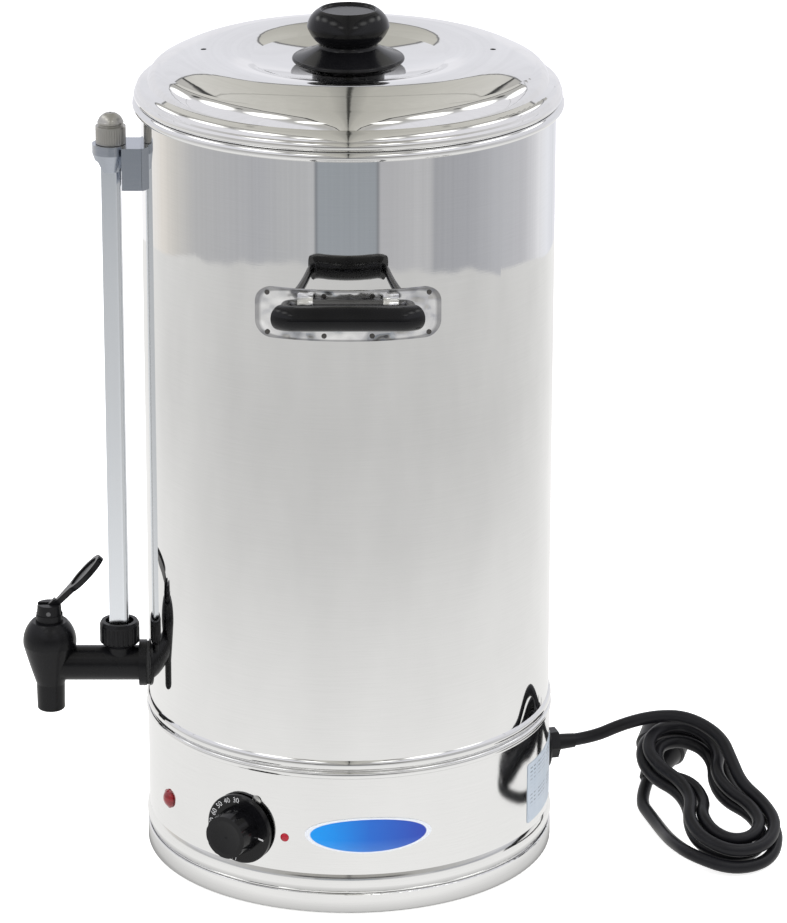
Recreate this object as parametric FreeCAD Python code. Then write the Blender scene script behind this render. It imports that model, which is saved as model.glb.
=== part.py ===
import FreeCAD, Part
import math
import os

# A free-standing hot water urn: a steel tank on a base with the controls, a lift-off lid,
# a drink tap with a sight glass on the left (-X), and a folding bail handle front and back.
# Millimetres, +Z up. The origin is on the urn's axis at the floor, and -Y is the front.

Vector = FreeCAD.Vector

# Driving dimensions

# Tank
tank_radius = 140.0            # outside of the wall
tank_wall = 1.0
tank_edge_below_top = 8.5      # of the wall's hidden lower edge below the base's top
tank_floor_rise = 1.0
tank_floor_thick = 1.0
tank_floor_flange = 8.0        # turned-down flange of the floor
tank_floor_bend = 4.0          # inside bend of that flange
stop_bead_rise = 0.7
stop_bead_height = 7.2
stop_bead_proud = 1.9
rim_top = 538.7                # rolled rim of the tank
rim_height = 6.8
rim_proud = 5.4
rim_round = 3.2

# Lid
lid_thick = 0.8
lid_seat_gap = 0.3             # lid above the rolled rim
lid_bead_height = 5.6
lid_bead_overhang = 4.2
lid_step_inset = 4.6           # of the dome's foot from the tank's outside
lid_step_height = 12.6         # of the dome's foot above the rim
lid_skirt_gap = 1.5            # between the locating skirt and the tank wall
lid_skirt_depth = 11.0
lid_skirt_thick = 0.8
lid_crest_inset = 43.0
lid_crest_height = 32.0        # of the crest above the rim
lid_dish_radius = 34.0         # flat middle that carries the knob
lid_dish_depth = 10.8          # of that middle below the crest
lid_vent_radius = 2.0

# Lid knob
knob_flange_radius = 37.8
knob_bulge_radius = 27.7
knob_neck_radius = 20.5
knob_foot_radius = 23.6
knob_top_radius = 17.9
knob_height = 38.6
knob_foot_height = 3.3         # from the lid to the flange's lower edge
knob_screw_radius = 2.5
knob_screw_depth = 20.0

# Base
base_wall = 0.8
base_fit = 0.15                # between the tank wall and the base shell
base_top = 105.0
base_lip_height = 5.4
base_lip_proud = 0.95
ridge_low = 16.6
ridge_height = 12.8
ridge_proud = 1.6
foot_ring_low = 1.5
foot_ring_top = 15.6
foot_ring_thick = 1.0
ledge_width = 7.0
plate_low = 8.0                # underside of the bottom plate
plate_thick = 1.0
seat_gap = 0.3                 # between pieces that rest on each other
vent_slots = 12
vent_slot_length = 22.0
vent_slot_radius = 2.0
vent_inset = 62.0
foot_pad_radius = 9.0
foot_pad_inset = 24.0
foot_pad_count = 4
foot_stem_radius = 3.0
foot_head_radius = 4.6
foot_head_height = 2.0
tie_radius = 3.0
tie_end = 2.2                  # lower end of the tie rod
tie_nut_height = 4.6
tie_nut_flats = 10.0

# Heating element
element_inset = 48.0
element_tube_radius = 4.2
element_rise = 12.0
element_bend = 9.0
element_open_angle = 12.0      # half of the ring's gap
element_leg_drop = 18.0
bushing_thread_radius = 5.2
bushing_flange_radius = 6.9
bushing_flange_height = 2.6
bushing_drop = 10.0
element_nut_height = 4.5
element_nut_radius = 6.9
bore_gap = 0.05                # running fits

# Controls, placed by azimuth: degrees from the front (-Y) towards +X
dial_azimuth = -31.2
dial_below_top = 49.1
dial_radius = 24.7
dial_thick = 3.4
dial_stand_off = 1.2           # of the dial's back from the base shell
dial_grip_radius = 16.4
dial_grip_height = 16.5
dial_lobes = 8
dial_lobe_radius = 5.0
dial_lobe_depth = 1.5
shaft_radius = 3.0
shaft_hole_radius = 5.0
shaft_reach = 13.0             # of the shaft into the knob
thermostat_size = 36.0
thermostat_depth = 25.0
bracket_width = 50.0
bracket_height = 62.0
bracket_thick = 1.5
bracket_screw_offset = 12.0    # beside the shaft
bracket_screw_rise = 22.3      # above and below the shaft
bracket_screw_radius = 1.9
bracket_screw_head = 3.6
bracket_screw_proud = 0.9
index_azimuth = -18.0
index_below_top = 50.8
index_radius = 3.0
index_proud = 1.3
index_stem_radius = 1.4
lamp_azimuth = -61.8
lamp_below_top = 51.0
lamp_lens_radius = 6.7
lamp_lens_proud = 4.2
lamp_barrel_radius = 5.0
lamp_barrel_length = 24.0
lamp_nut_radius = 8.0
lamp_nut_thick = 3.0
badge_azimuth = 5.6
badge_below_top = 46.6
badge_width = 88.0
badge_tall = 26.0
badge_thick = 0.9
label_azimuth = 75.0
label_below_top = 48.0
label_width = 68.0
label_tall = 44.0
label_corner = 2.0
label_thick = 0.3
sticker_gap = 0.05

# Things inside the base
block_azimuth = 105.0
block_inset = 46.0             # of the terminal block's middle from the tank's outside
block_entry = 6.0              # of the wires above the block's foot
block_length = 38.0
block_depth = 20.0
block_height = 17.0
block_ways = 3
cutout_x = -42.0
cutout_y = 30.0
cutout_radius = 8.0
cutout_height = 11.0
cutout_flange_radius = 13.0
cutout_flange_thick = 1.2
bulb_radius = 3.0
bulb_length = 70.0
bulb_x = -20.0
bulb_y = -45.0
capillary_radius = 1.0
wire_radius = 1.3

# Tap
tap_reach = 69.3               # of the tap's axis from the tank
tap_axis_rise = 23.8           # of the shank above the base's top
shank_radius = 12.3
shank_bore = 6.5
tap_thread_radius = 11.0
tap_thread_inside = 20.0       # of the threaded stub inside the tank wall
tap_hole_gap = 0.4
tap_flange_radius = 16.3
tap_flange_thick = 5.2
tap_seal_thick = 1.6
tap_nut_radius = 16.0
tap_nut_thick = 9.0
tap_bulge_radius = 18.6
tap_bulge_rise = 14.2
tap_shoulder_radius = 12.4
tap_shoulder_rise = 31.6
spout_radius = 9.7
spout_drop = 34.4
spout_bore = 6.2
spout_waist_drop = 14.8
seat_drop = 7.8
chamber_radius = 9.0
bonnet_radius = 9.6
bonnet_ring_height = 5.2
bonnet_top_radius = 8.4
bonnet_rise = 12.6
bonnet_slot = 5.2
bonnet_thread_depth = 8.0
stem_radius = 2.0
stem_travel = 4.0
cup_radius = 8.2
cup_height = 7.0
cup_gap = 0.2                  # seat cup above the seat, so that the solids stay apart
lever_pivot_below_top = 5.0
lever_pin_radius = 1.6
lever_thick = 4.4
lever_angle = 43.0             # of the lever from the vertical, towards the tank
lever_length = 54.0
lever_hub_radius = 4.0
paddle_radius = 12.0
paddle_stretch = 1.35
paddle_thick = 4.0
paddle_recess = 1.2
spring_wire = 0.6
spring_radius = 5.2
spring_turns = 5

# Sight glass
glass_reach = 20.3             # of the sight glass from the tank
glass_radius = 5.0
glass_wall = 1.2
glass_low_rise = 17.2
glass_above_bracket = 3.4
tee_radius = 9.6
tee_rise = 20.7
sight_nut_radius = 13.9
sight_nut_rise = 13.8
sight_nut_height = 18.0
sight_nut_recess = 6.4
sight_nut_recess_radius = 9.9
seal_thick = 2.4
top_seal_thick = 0.6
shield_depth = 13.4
shield_width = 13.4
shield_wall = 1.0
shield_corner = 4.0
shield_in_nut = 6.0
shield_below_bracket_top = 11.6
bracket_below_rim = 33.1
bracket_tall = 29.4
bracket_half_width = 15.0
bracket_sheet = 2.0
nose_radius = 12.8
nose_low_radius = 8.6
nose_band = 6.5
nose_cone = 12.0
nipple_radius = 7.4
nipple_height = 9.0
cap_radius = 10.3
cap_skirt_height = 12.0
cap_top_radius = 8.8
cap_top_height = 9.0
cap_vent_radius = 0.8
sight_screw_radius = 2.0
sight_screw_offset = 9.5
sight_screw_below_top = 15.6
sight_screw_head = 4.0
sight_screw_length = 9.0

# Handles
plate_below_rim = 111.2        # of the handle plate's middle
plate_tall = 34.4
plate_half_angle = 25.6
plate_corner = 11.0
handle_plate_thick = 1.2
handle_plate_gap = 0.15
hinge_rise = 9.5
bail_radius = 3.25
bail_gap = 0.3                 # between the bail and the plate in the middle
bail_reach = 51.0
bail_tilt = 7.0                # degrees above level
bail_inner_half = 40.0
bail_outer_half = 44.6
bail_inner_bend = 6.4
bail_outer_bend = 12.0
grip_radius = 8.3
grip_arc = 52.0                # degrees of each outer bend that the grip covers
strap_inner = 23.0
strap_outer = 33.0
strap_thick = 1.3
weld_radius = 1.7
weld_proud = 0.35
weld_angles = (6.4, 22.0)
weld_inset = 3.6

# Mains cord
cord_radius = 4.5
gland_azimuth = 105.0
gland_below_top = 53.5
gland_flange_radius = 18.0
gland_flange_thick = 4.2
gland_thread_radius = 8.0
gland_nut_flats = 19.6
gland_nut_thick = 8.2
gland_inner_length = 11.0
gland_locknut_radius = 11.5
gland_locknut_thick = 3.5
boot_radius = 5.9
boot_tip_radius = 5.1
boot_length = 13.0
cord_bore_gap = 0.03
cord_lead = 25.0               # straight runs at both ends of the free stretch
cord_lead_in = 22.0
cord_arch = ((57.0, 46.0, 9.5), (81.0, 41.0, 16.0), (103.0, 35.0, 18.0))  # beyond the tank, above the gland
cord_drop_inset = 19.5         # where the cord turns down inside the base
cord_inside_bend = 8.0
plug_length = 44.0
plug_face_radius = 18.4
plug_face_thick = 17.0
plug_neck_radius = 6.6
plug_neck_length = 9.0
plug_key_width = 6.0
plug_key_depth = 2.2
pin_radius = 2.4
pin_length = 19.0
pin_pitch = 19.0

# Hank: loops of cord that lie folded, drawn in at the waist, one end up on the plug
hank_out = 118.0
hank_y = -7.0
hank_heading = -64.9           # degrees from +X of the hank's long axis
hank_tilt = 17.5               # degrees down towards its front end
hank_half_length = 76.0
hank_half_width = 37.0
hank_waist = 26.0
hank_step = 12.0               # from loop to loop
hank_waist_step = 12.6
hank_layer = 9.9               # from layer to layer
hank_entry_rise = 6.0          # of the cord above the upper layer where it joins the loops
hank_entry_slope = 0.3
hank_turns_in = 1.5            # loops of the upper layer
hank_turns_out = 1.875         # loops of the lower layer
hank_floor = (81.0, -4.0, 5.2)  # beyond the tank, where the last stretch runs along the floor
hank_floor_heading = (-0.2, 0.98, 0.0)
hank_tail = (75.0, 50.0, 18.5)  # beyond the tank, at the plug's rear
plug_heading = (0.34, 0.81, 0.46)

# Sizes worked out from the driving dimensions

lid_bead_radius = tank_radius + lid_bead_overhang
lid_step_radius = tank_radius - lid_step_inset
lid_crest_radius = tank_radius - lid_crest_inset
tank_low_edge = base_top - tank_edge_below_top
tank_floor_top = base_top + tank_floor_rise
stop_bead_low = base_top + stop_bead_rise
vent_circle = tank_radius - vent_inset
foot_pad_circle = tank_radius - foot_pad_inset
element_ring_radius = tank_radius - element_inset
element_height = tank_floor_top + element_rise
element_leg_end = tank_floor_top - element_leg_drop
bushing_end = tank_floor_top - bushing_drop
dial_height = base_top - dial_below_top
index_height = base_top - index_below_top
lamp_height = base_top - lamp_below_top
badge_height = base_top - badge_below_top
label_height = base_top - label_below_top
gland_height = base_top - gland_below_top
block_radius = tank_radius - block_inset
tap_x = -tank_radius - tap_reach
tap_axis_height = base_top + tap_axis_rise
tap_thread_end = -tank_radius + tap_thread_inside
tap_bulge_height = tap_axis_height + tap_bulge_rise
tap_shoulder_height = tap_axis_height + tap_shoulder_rise
spout_low = tap_axis_height - spout_drop
spout_waist_height = tap_axis_height - spout_waist_drop
seat_height = tap_axis_height - seat_drop
bonnet_top = tap_shoulder_height + bonnet_rise
lever_pivot_height = bonnet_top - lever_pivot_below_top
bracket_top = rim_top - bracket_below_rim
bracket_low = bracket_top - bracket_tall
glass_x = -tank_radius - glass_reach
glass_low = tap_axis_height + glass_low_rise
glass_top = bracket_top + glass_above_bracket
tee_top = tap_axis_height + tee_rise
sight_nut_low = tap_axis_height + sight_nut_rise
sight_nut_top = sight_nut_low + sight_nut_height
shield_low = sight_nut_top - shield_in_nut
shield_top = bracket_top - shield_below_bracket_top
sight_screw_height = bracket_top - sight_screw_below_top
plate_centre_height = rim_top - plate_below_rim
hinge_height = plate_centre_height + hinge_rise
cord_drop = tank_radius - cord_drop_inset
hank_x = tank_radius + hank_out
tank_inner = tank_radius - tank_wall
rim_low = rim_top - rim_height
stop_bead_top = stop_bead_low + stop_bead_height
base_inner = tank_radius + base_fit
base_outer = base_inner + base_wall
plate_top = plate_low + plate_thick
lid_low = rim_top + lid_seat_gap
lid_crest = rim_top + lid_crest_height
lid_dish = lid_crest - lid_dish_depth
grip_axis_y = tank_radius + handle_plate_gap + handle_plate_thick + bail_gap + bail_radius

pieces = {}


def point(radius, height):
    return Vector(radius, 0, height)


def beyond_tank(place):
    return Vector(*place) + Vector(tank_radius, 0, 0)


def outline(*steps):
    """Closed wire in the XZ plane; a step (via, to) is an arc through via."""
    edges = []
    last = steps[0]
    for step in list(steps[1:]) + [steps[0]]:
        if isinstance(step, tuple):
            edges.append(Part.Arc(last, step[0], step[1]).toShape())
            last = step[1]
        elif (step - last).Length > 1e-6:
            edges.append(Part.LineSegment(last, step).toShape())
            last = step
    return Part.Wire(edges)


def spin(*steps):
    """Solid of revolution about the urn's axis."""
    return Part.Face(outline(*steps)).revolve(Vector(0, 0, 0), Vector(0, 0, 1), 360)


def rod(radius, start, end):
    start = Vector(*start)
    way = Vector(*end) - start
    return Part.makeCylinder(radius, way.Length, start, way)


def cone(radius_1, radius_2, start, end):
    start = Vector(*start)
    way = Vector(*end) - start
    return Part.makeCone(radius_1, radius_2, way.Length, start, way)


def tube(outer, inner, start, end):
    return rod(outer, start, end).cut(rod(inner, start, end))


def box(x0, x1, y0, y1, z0, z1):
    return Part.makeBox(x1 - x0, y1 - y0, z1 - z0, Vector(x0, y0, z0))


def prism(flats, start, height, direction):
    """Hexagonal nut body with its corners turned off, measured across its flats."""
    corner = flats / math.sqrt(3)
    points = []
    for k in range(7):
        angle = math.radians(60 * k)
        points.append(Vector(corner * math.cos(angle), corner * math.sin(angle), 0))
    body = Part.Face(Part.makePolygon(points)).extrude(Vector(0, 0, height))
    body = body.common(Part.makeCylinder(corner * 0.975, height))
    spin_to = FreeCAD.Rotation(Vector(0, 0, 1), Vector(*direction))
    body.Placement = FreeCAD.Placement(Vector(*start), spin_to)
    return body


def wall_frame(azimuth, radius, height):
    """Local +Z points out of the urn at this azimuth, +Y up, +X to the right seen from outside."""
    a = math.radians(azimuth)
    out = Vector(math.sin(a), -math.cos(a), 0)
    side = Vector(math.cos(a), math.sin(a), 0)
    up = Vector(0, 0, 1)
    place = FreeCAD.Matrix(side.x, up.x, out.x, radius * out.x,
                           side.y, up.y, out.y, radius * out.y,
                           side.z, up.z, out.z, height,
                           0, 0, 0, 1)
    return FreeCAD.Placement(place)


def on_wall(shape, azimuth, radius, height):
    moved = shape.copy()
    moved.Placement = wall_frame(azimuth, radius, height).multiply(moved.Placement)
    return moved


def rounded_path(points, radii):
    """Straight runs joined by tangent arcs, one radius for each inner point."""
    points = [Vector(*p) for p in points]
    edges = []
    last = points[0]
    for k in range(1, len(points) - 1):
        back = (points[k - 1] - points[k]).normalize()
        ahead = (points[k + 1] - points[k]).normalize()
        half = back.getAngle(ahead) / 2
        reach = radii[k - 1] / math.tan(half)
        start = points[k] + back * reach
        end = points[k] + ahead * reach
        centre_way = (back + ahead).normalize()
        middle = points[k] + centre_way * (radii[k - 1] / math.sin(half) - radii[k - 1])
        if (start - last).Length > 1e-6:
            edges.append(Part.LineSegment(last, start).toShape())
        edges.append(Part.Arc(start, middle, end).toShape())
        last = end
    if (points[-1] - last).Length > 1e-6:
        edges.append(Part.LineSegment(last, points[-1]).toShape())
    return Part.Wire(edges)


def sweep(path, radius):
    """Solid round tube along a wire."""
    start = path.OrderedVertexes[0].Point
    first = path.OrderedEdges[0]
    way = first.tangentAt(first.FirstParameter)
    if (first.valueAt(first.FirstParameter) - start).Length > 1e-6:
        way = first.tangentAt(first.LastParameter) * -1
    ring = Part.Wire([Part.Circle(start, way, radius).toShape()])
    return path.makePipeShell([ring], True, False)


def save(name, *solids):
    pieces[name] = solids[0] if len(solids) == 1 else Part.makeCompound(list(solids))


# Tank

def tank():
    proud = tank_radius + stop_bead_proud
    mid = stop_bead_low + stop_bead_height / 2
    wall = spin(
        point(tank_inner, tank_low_edge), point(tank_radius, tank_low_edge),
        point(tank_radius, stop_bead_low), (point(proud, mid), point(tank_radius, stop_bead_top)),
        point(tank_radius, rim_top - rim_round), point(tank_inner, rim_top - rim_round),
        point(tank_inner, stop_bead_top),
        (point(proud - tank_wall, mid), point(tank_inner, stop_bead_low)))
    bead = spin(
        point(tank_inner, rim_low), point(tank_radius + rim_proud - rim_round, rim_low),
        (point(tank_radius + rim_proud, (rim_low + rim_top) / 2),
         point(tank_radius + rim_proud - rim_round, rim_top)),
        point(tank_inner + rim_round / 2, rim_top),
        (point(tank_inner, rim_top - rim_round / 2), point(tank_inner, rim_top - rim_round)))
    shell = wall.fuse(bead).removeSplitter()
    hole = tap_thread_radius + tap_hole_gap
    shell = shell.cut(rod(hole, (-tank_radius - 9, 0, tap_axis_height),
                          (-tank_radius + 9, 0, tap_axis_height)))
    for side in (-1, 1):
        y = side * sight_screw_offset
        shell = shell.cut(rod(sight_screw_radius + bore_gap, (-tank_radius - 9, y, sight_screw_height),
                              (-tank_radius + 9, y, sight_screw_height)))
    save("tank_shell", shell)

    top = tank_floor_top
    low = top - tank_floor_thick
    outer = tank_inner - bore_gap
    bend = tank_floor_bend
    k = math.sqrt(0.5)
    inner_bend = bend - tank_floor_thick
    floor = spin(
        point(0, low), point(outer - bend, low),
        (point(outer - bend + inner_bend * k, top - bend + inner_bend * k),
         point(outer - tank_floor_thick, top - bend)),
        point(outer - tank_floor_thick, top - tank_floor_flange), point(outer, top - tank_floor_flange),
        point(outer, top - bend),
        (point(outer - bend + bend * k, top - bend + bend * k), point(outer - bend, top)),
        point(0, top))
    for x, y in element_legs():
        floor = floor.cut(rod(bushing_thread_radius + bore_gap, (x, y, low - 1), (x, y, top + 1)))
    save("tank_bottom", floor)


# Lid

def lid():
    step = rim_top + lid_step_height
    bead_top = lid_low + lid_bead_height
    t = lid_thick
    skirt_out = tank_inner - lid_skirt_gap
    skirt_in = skirt_out - lid_skirt_thick
    outer_shoulder = Vector(lid_step_radius - 9.4, 0, step + 10.6)
    crest = point(lid_crest_radius, lid_crest)
    half_dish = point((lid_dish_radius + lid_crest_radius) / 2, (lid_dish + lid_crest) / 2)
    dish_edge = point(lid_dish_radius, lid_dish)
    # The upper skin runs from the middle over the crest and the shoulder down to the rolled rim
    skin = [
        point(0, lid_dish), dish_edge,
        (half_dish + Vector(-9, 0, -1.9), half_dish), (half_dish + Vector(14, 0, 3.9), crest),
        (point(lid_crest_radius + 15, lid_crest - 2.6), outer_shoulder),
        (outer_shoulder + Vector(6.6, 0, -4.6), point(lid_step_radius, step)),
        point(lid_step_radius + 3.2, step - 1.2),
        (point(lid_step_radius + 6.4, step - 3.2), point(lid_bead_radius - 1.0, bead_top)),
        (point(lid_bead_radius, (lid_low + bead_top) / 2), point(lid_bead_radius - 1.4, lid_low))]
    under = [
        point(skirt_out + 1.2, lid_low), point(skirt_out, lid_low - 1.2),
        point(skirt_out, rim_top - lid_skirt_depth), point(skirt_in, rim_top - lid_skirt_depth),
        point(skirt_in, lid_low), point(lid_step_radius - t, lid_low + 2.0),
        point(lid_step_radius - t, step - t * 0.4),
        (outer_shoulder + Vector(6.6 - t * 0.7, 0, -4.6 - t * 0.7), outer_shoulder + Vector(-t * 0.6, 0, -t)),
        (point(lid_crest_radius + 15, lid_crest - 2.6 - t), crest + Vector(0, 0, -t)),
        (half_dish + Vector(14, 0, 3.9 - t), half_dish + Vector(0, 0, -t)),
        (half_dish + Vector(-9, 0, -1.9 - t), dish_edge + Vector(0, 0, -t)),
        point(0, lid_dish - t)]
    shell = spin(*(skin + under))
    for side in (-1, 1):
        x = side * lid_crest_radius
        shell = shell.cut(rod(lid_vent_radius, (x, 0, lid_dish), (x, 0, lid_crest + 5)))
    shell = shell.cut(rod(knob_screw_radius + bore_gap, (0, 0, lid_dish - 9), (0, 0, lid_dish + 9)))
    save("lid_shell", shell)

    base = lid_dish
    flange = base + knob_foot_height
    top = base + knob_height
    bulge = top - 11.6
    neck = flange + 10.0
    knob = spin(
        point(0, base), point(knob_foot_radius, base), point(knob_foot_radius, flange),
        point(knob_flange_radius - 1.2, flange),
        (point(knob_flange_radius, flange + 1.2), point(knob_flange_radius - 1.5, flange + 2.9)),
        (point(knob_neck_radius + 7.5, flange + 5.9), point(knob_neck_radius, neck)),
        (point(knob_neck_radius - 0.6, neck + 2.0), point(knob_neck_radius + 1.4, neck + 4.0)),
        (point(knob_bulge_radius - 1.9, bulge - 4.6), point(knob_bulge_radius, bulge)),
        (point(knob_bulge_radius - 2.4, bulge + 6.4), point(knob_top_radius + 1.6, top)),
        (point(knob_top_radius + 0.6, top + 0.1), point(knob_top_radius, top - 0.9)),
        point(knob_top_radius - 0.6, top - 1.5), point(0, top - 1.5))
    knob = knob.cut(rod(knob_screw_radius, (0, 0, base - 1), (0, 0, base + knob_screw_depth)))
    save("lid_knob", knob)

    under_lid = lid_dish - lid_thick
    washer_low = under_lid - 1.2
    washer = tube(9.0, knob_screw_radius + bore_gap, (0, 0, washer_low), (0, 0, under_lid))
    screw = rod(knob_screw_radius, (0, 0, washer_low), (0, 0, base + knob_screw_depth))
    head = cone(3.0, 4.8, (0, 0, washer_low - 2.8), (0, 0, washer_low))
    head = head.cut(box(-4, 4, -0.6, 0.6, washer_low - 3, washer_low - 1.8))
    head = head.cut(box(-0.6, 0.6, -4, 4, washer_low - 3, washer_low - 1.8))
    save("lid_knob_screw", screw.fuse(head).removeSplitter(), washer)


# Base

def base():
    lip = base_outer + base_lip_proud
    lip_low = base_top - base_lip_height
    ridge_top = ridge_low + ridge_height
    ridge_mid = ridge_low + ridge_height / 2
    bottom = plate_low + seat_gap
    shell = spin(
        point(base_inner, bottom), point(base_outer, bottom), point(base_outer, ridge_low),
        (point(base_outer + ridge_proud, ridge_mid), point(base_outer, ridge_top)),
        point(base_outer, lip_low), (point(lip, lip_low + 1.3), point(lip, base_top - 1.6)),
        (point(lip - 0.4, base_top - 0.4), point(lip - 1.2, base_top)),
        point(base_inner, base_top), point(base_inner, ridge_top),
        (point(base_inner + ridge_proud, ridge_mid), point(base_inner, ridge_low)))
    holes = (
        (dial_azimuth, dial_height, 0, 0, shaft_hole_radius),
        (dial_azimuth, dial_height, bracket_screw_offset, bracket_screw_rise, bracket_screw_radius + bore_gap),
        (dial_azimuth, dial_height, -bracket_screw_offset, -bracket_screw_rise, bracket_screw_radius + bore_gap),
        (lamp_azimuth, lamp_height, 0, 0, lamp_barrel_radius + bore_gap),
        (index_azimuth, index_height, 0, 0, index_stem_radius + bore_gap),
        (gland_azimuth, gland_height, 0, 0, gland_thread_radius + bore_gap))
    for azimuth, height, aside, rise, radius in holes:
        drill = Part.makeCylinder(radius, 14, Vector(aside, rise, -8))
        shell = shell.cut(on_wall(drill, azimuth, tank_radius, height))
    save("base_shell", shell)

    ring_in = base_outer + seat_gap
    ring_out = ring_in + foot_ring_thick
    ledge_in = base_inner - ledge_width
    ring = spin(
        point(ring_in, foot_ring_low), point(ring_out - 0.5, foot_ring_low),
        (point(ring_out - 0.1, foot_ring_low + 0.15), point(ring_out, foot_ring_low + 0.6)),
        point(ring_out, foot_ring_top - 0.8),
        (point(ring_out - 0.2, foot_ring_top - 0.2), point(ring_out - 0.7, foot_ring_top)),
        point(ring_in, foot_ring_top), point(ring_in, plate_low), point(ledge_in, plate_low),
        point(ledge_in, plate_low - foot_ring_thick), point(ring_in, plate_low - foot_ring_thick))
    save("foot_ring", ring)

    plate = rod(base_inner - seat_gap, (0, 0, plate_low), (0, 0, plate_top))
    plate = plate.cut(rod(tie_radius + bore_gap, (0, 0, 0), (0, 0, 20)))
    for k in range(foot_pad_count):
        x, y = foot_place(k)
        plate = plate.cut(rod(foot_stem_radius, (x, y, 0), (x, y, 20)))
    for k in range(vent_slots):
        angle = 360.0 * (k + 0.5) / vent_slots
        slot = box(-vent_slot_length / 2, vent_slot_length / 2, -vent_slot_radius, vent_slot_radius, 0, 20)
        slot = slot.fuse(rod(vent_slot_radius, (-vent_slot_length / 2, 0, 0), (-vent_slot_length / 2, 0, 20)))
        slot = slot.fuse(rod(vent_slot_radius, (vent_slot_length / 2, 0, 0), (vent_slot_length / 2, 0, 20)))
        slot.translate(Vector(vent_circle, 0, 0))
        slot.rotate(Vector(0, 0, 0), Vector(0, 0, 1), angle)
        plate = plate.cut(slot)
    save("bottom_plate", plate)

    feet = []
    for k in range(foot_pad_count):
        x, y = foot_place(k)
        foot = cone(foot_pad_radius - 1.2, foot_pad_radius, (x, y, 0), (x, y, plate_low))
        foot = foot.fuse(rod(foot_stem_radius - bore_gap, (x, y, plate_low), (x, y, plate_top)))
        feet.append(foot.fuse(cone(foot_head_radius, foot_stem_radius, (x, y, plate_top),
                                   (x, y, plate_top + foot_head_height))))
    save("rubber_feet", *feet)

    low = tank_floor_top - tank_floor_thick
    save("tie_rod", rod(tie_radius, (0, 0, tie_end), (0, 0, low)).fuse(
        rod(tie_radius * 3, (0, 0, low - 1.5), (0, 0, low))).removeSplitter())
    nut = prism(tie_nut_flats, (0, 0, plate_low - tie_nut_height), tie_nut_height, (0, 0, 1))
    save("tie_nut", nut.cut(rod(tie_radius + bore_gap, (0, 0, 0), (0, 0, 20))))


def foot_place(k):
    angle = math.radians(360.0 * (k + 0.5) / foot_pad_count)
    return foot_pad_circle * math.cos(angle), foot_pad_circle * math.sin(angle)


# Heating element

def element_legs():
    a = math.radians(element_open_angle)
    x = element_ring_radius * math.cos(a) + element_bend * math.sin(a)
    y = element_ring_radius * math.sin(a) - element_bend * math.cos(a)
    return (x, y), (x, -y)


def element():
    a = math.radians(element_open_angle)
    ring = element_ring_radius
    start = Vector(ring * math.cos(a), ring * math.sin(a), element_height)
    end = Vector(start.x, -start.y, start.z)
    k = math.sqrt(0.5) * element_bend
    edges = []
    for leg, tip in zip(element_legs(), (start, end)):
        low = Vector(leg[0], leg[1], element_leg_end)
        bend = Vector(leg[0], leg[1], element_height - element_bend)
        across = (tip - Vector(leg[0], leg[1], element_height)).normalize()
        mid = bend + across * (element_bend - k) + Vector(0, 0, k)
        edges.append([Part.LineSegment(low, bend).toShape(), Part.Arc(bend, mid, tip).toShape()])
    loop = Part.Arc(start, Vector(-ring, 0, element_height), end).toShape()
    path = Part.Wire(edges[0] + [loop] + edges[1][::-1])
    save("heating_element", sweep(path, element_tube_radius))
    bushings = []
    nuts = []
    low = tank_floor_top - tank_floor_thick
    for x, y in element_legs():
        bush = rod(bushing_thread_radius, (x, y, bushing_end), (x, y, tank_floor_top))
        bush = bush.fuse(rod(bushing_flange_radius, (x, y, tank_floor_top),
                             (x, y, tank_floor_top + bushing_flange_height))).removeSplitter()
        bushings.append(bush.cut(rod(element_tube_radius + bore_gap, (x, y, 0), (x, y, rim_top))))
        nuts.append(tube(element_nut_radius, bushing_thread_radius + bore_gap,
                         (x, y, low - element_nut_height), (x, y, low)))
    save("element_bushings", *bushings)
    save("element_nuts", *nuts)


# Thermostat, dial, lamp and plates

def thermostat_seat():
    """Radius at which a flat bracket of this width meets the curved base shell."""
    return math.sqrt(base_inner ** 2 - (bracket_width / 2) ** 2) - seat_gap


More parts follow.
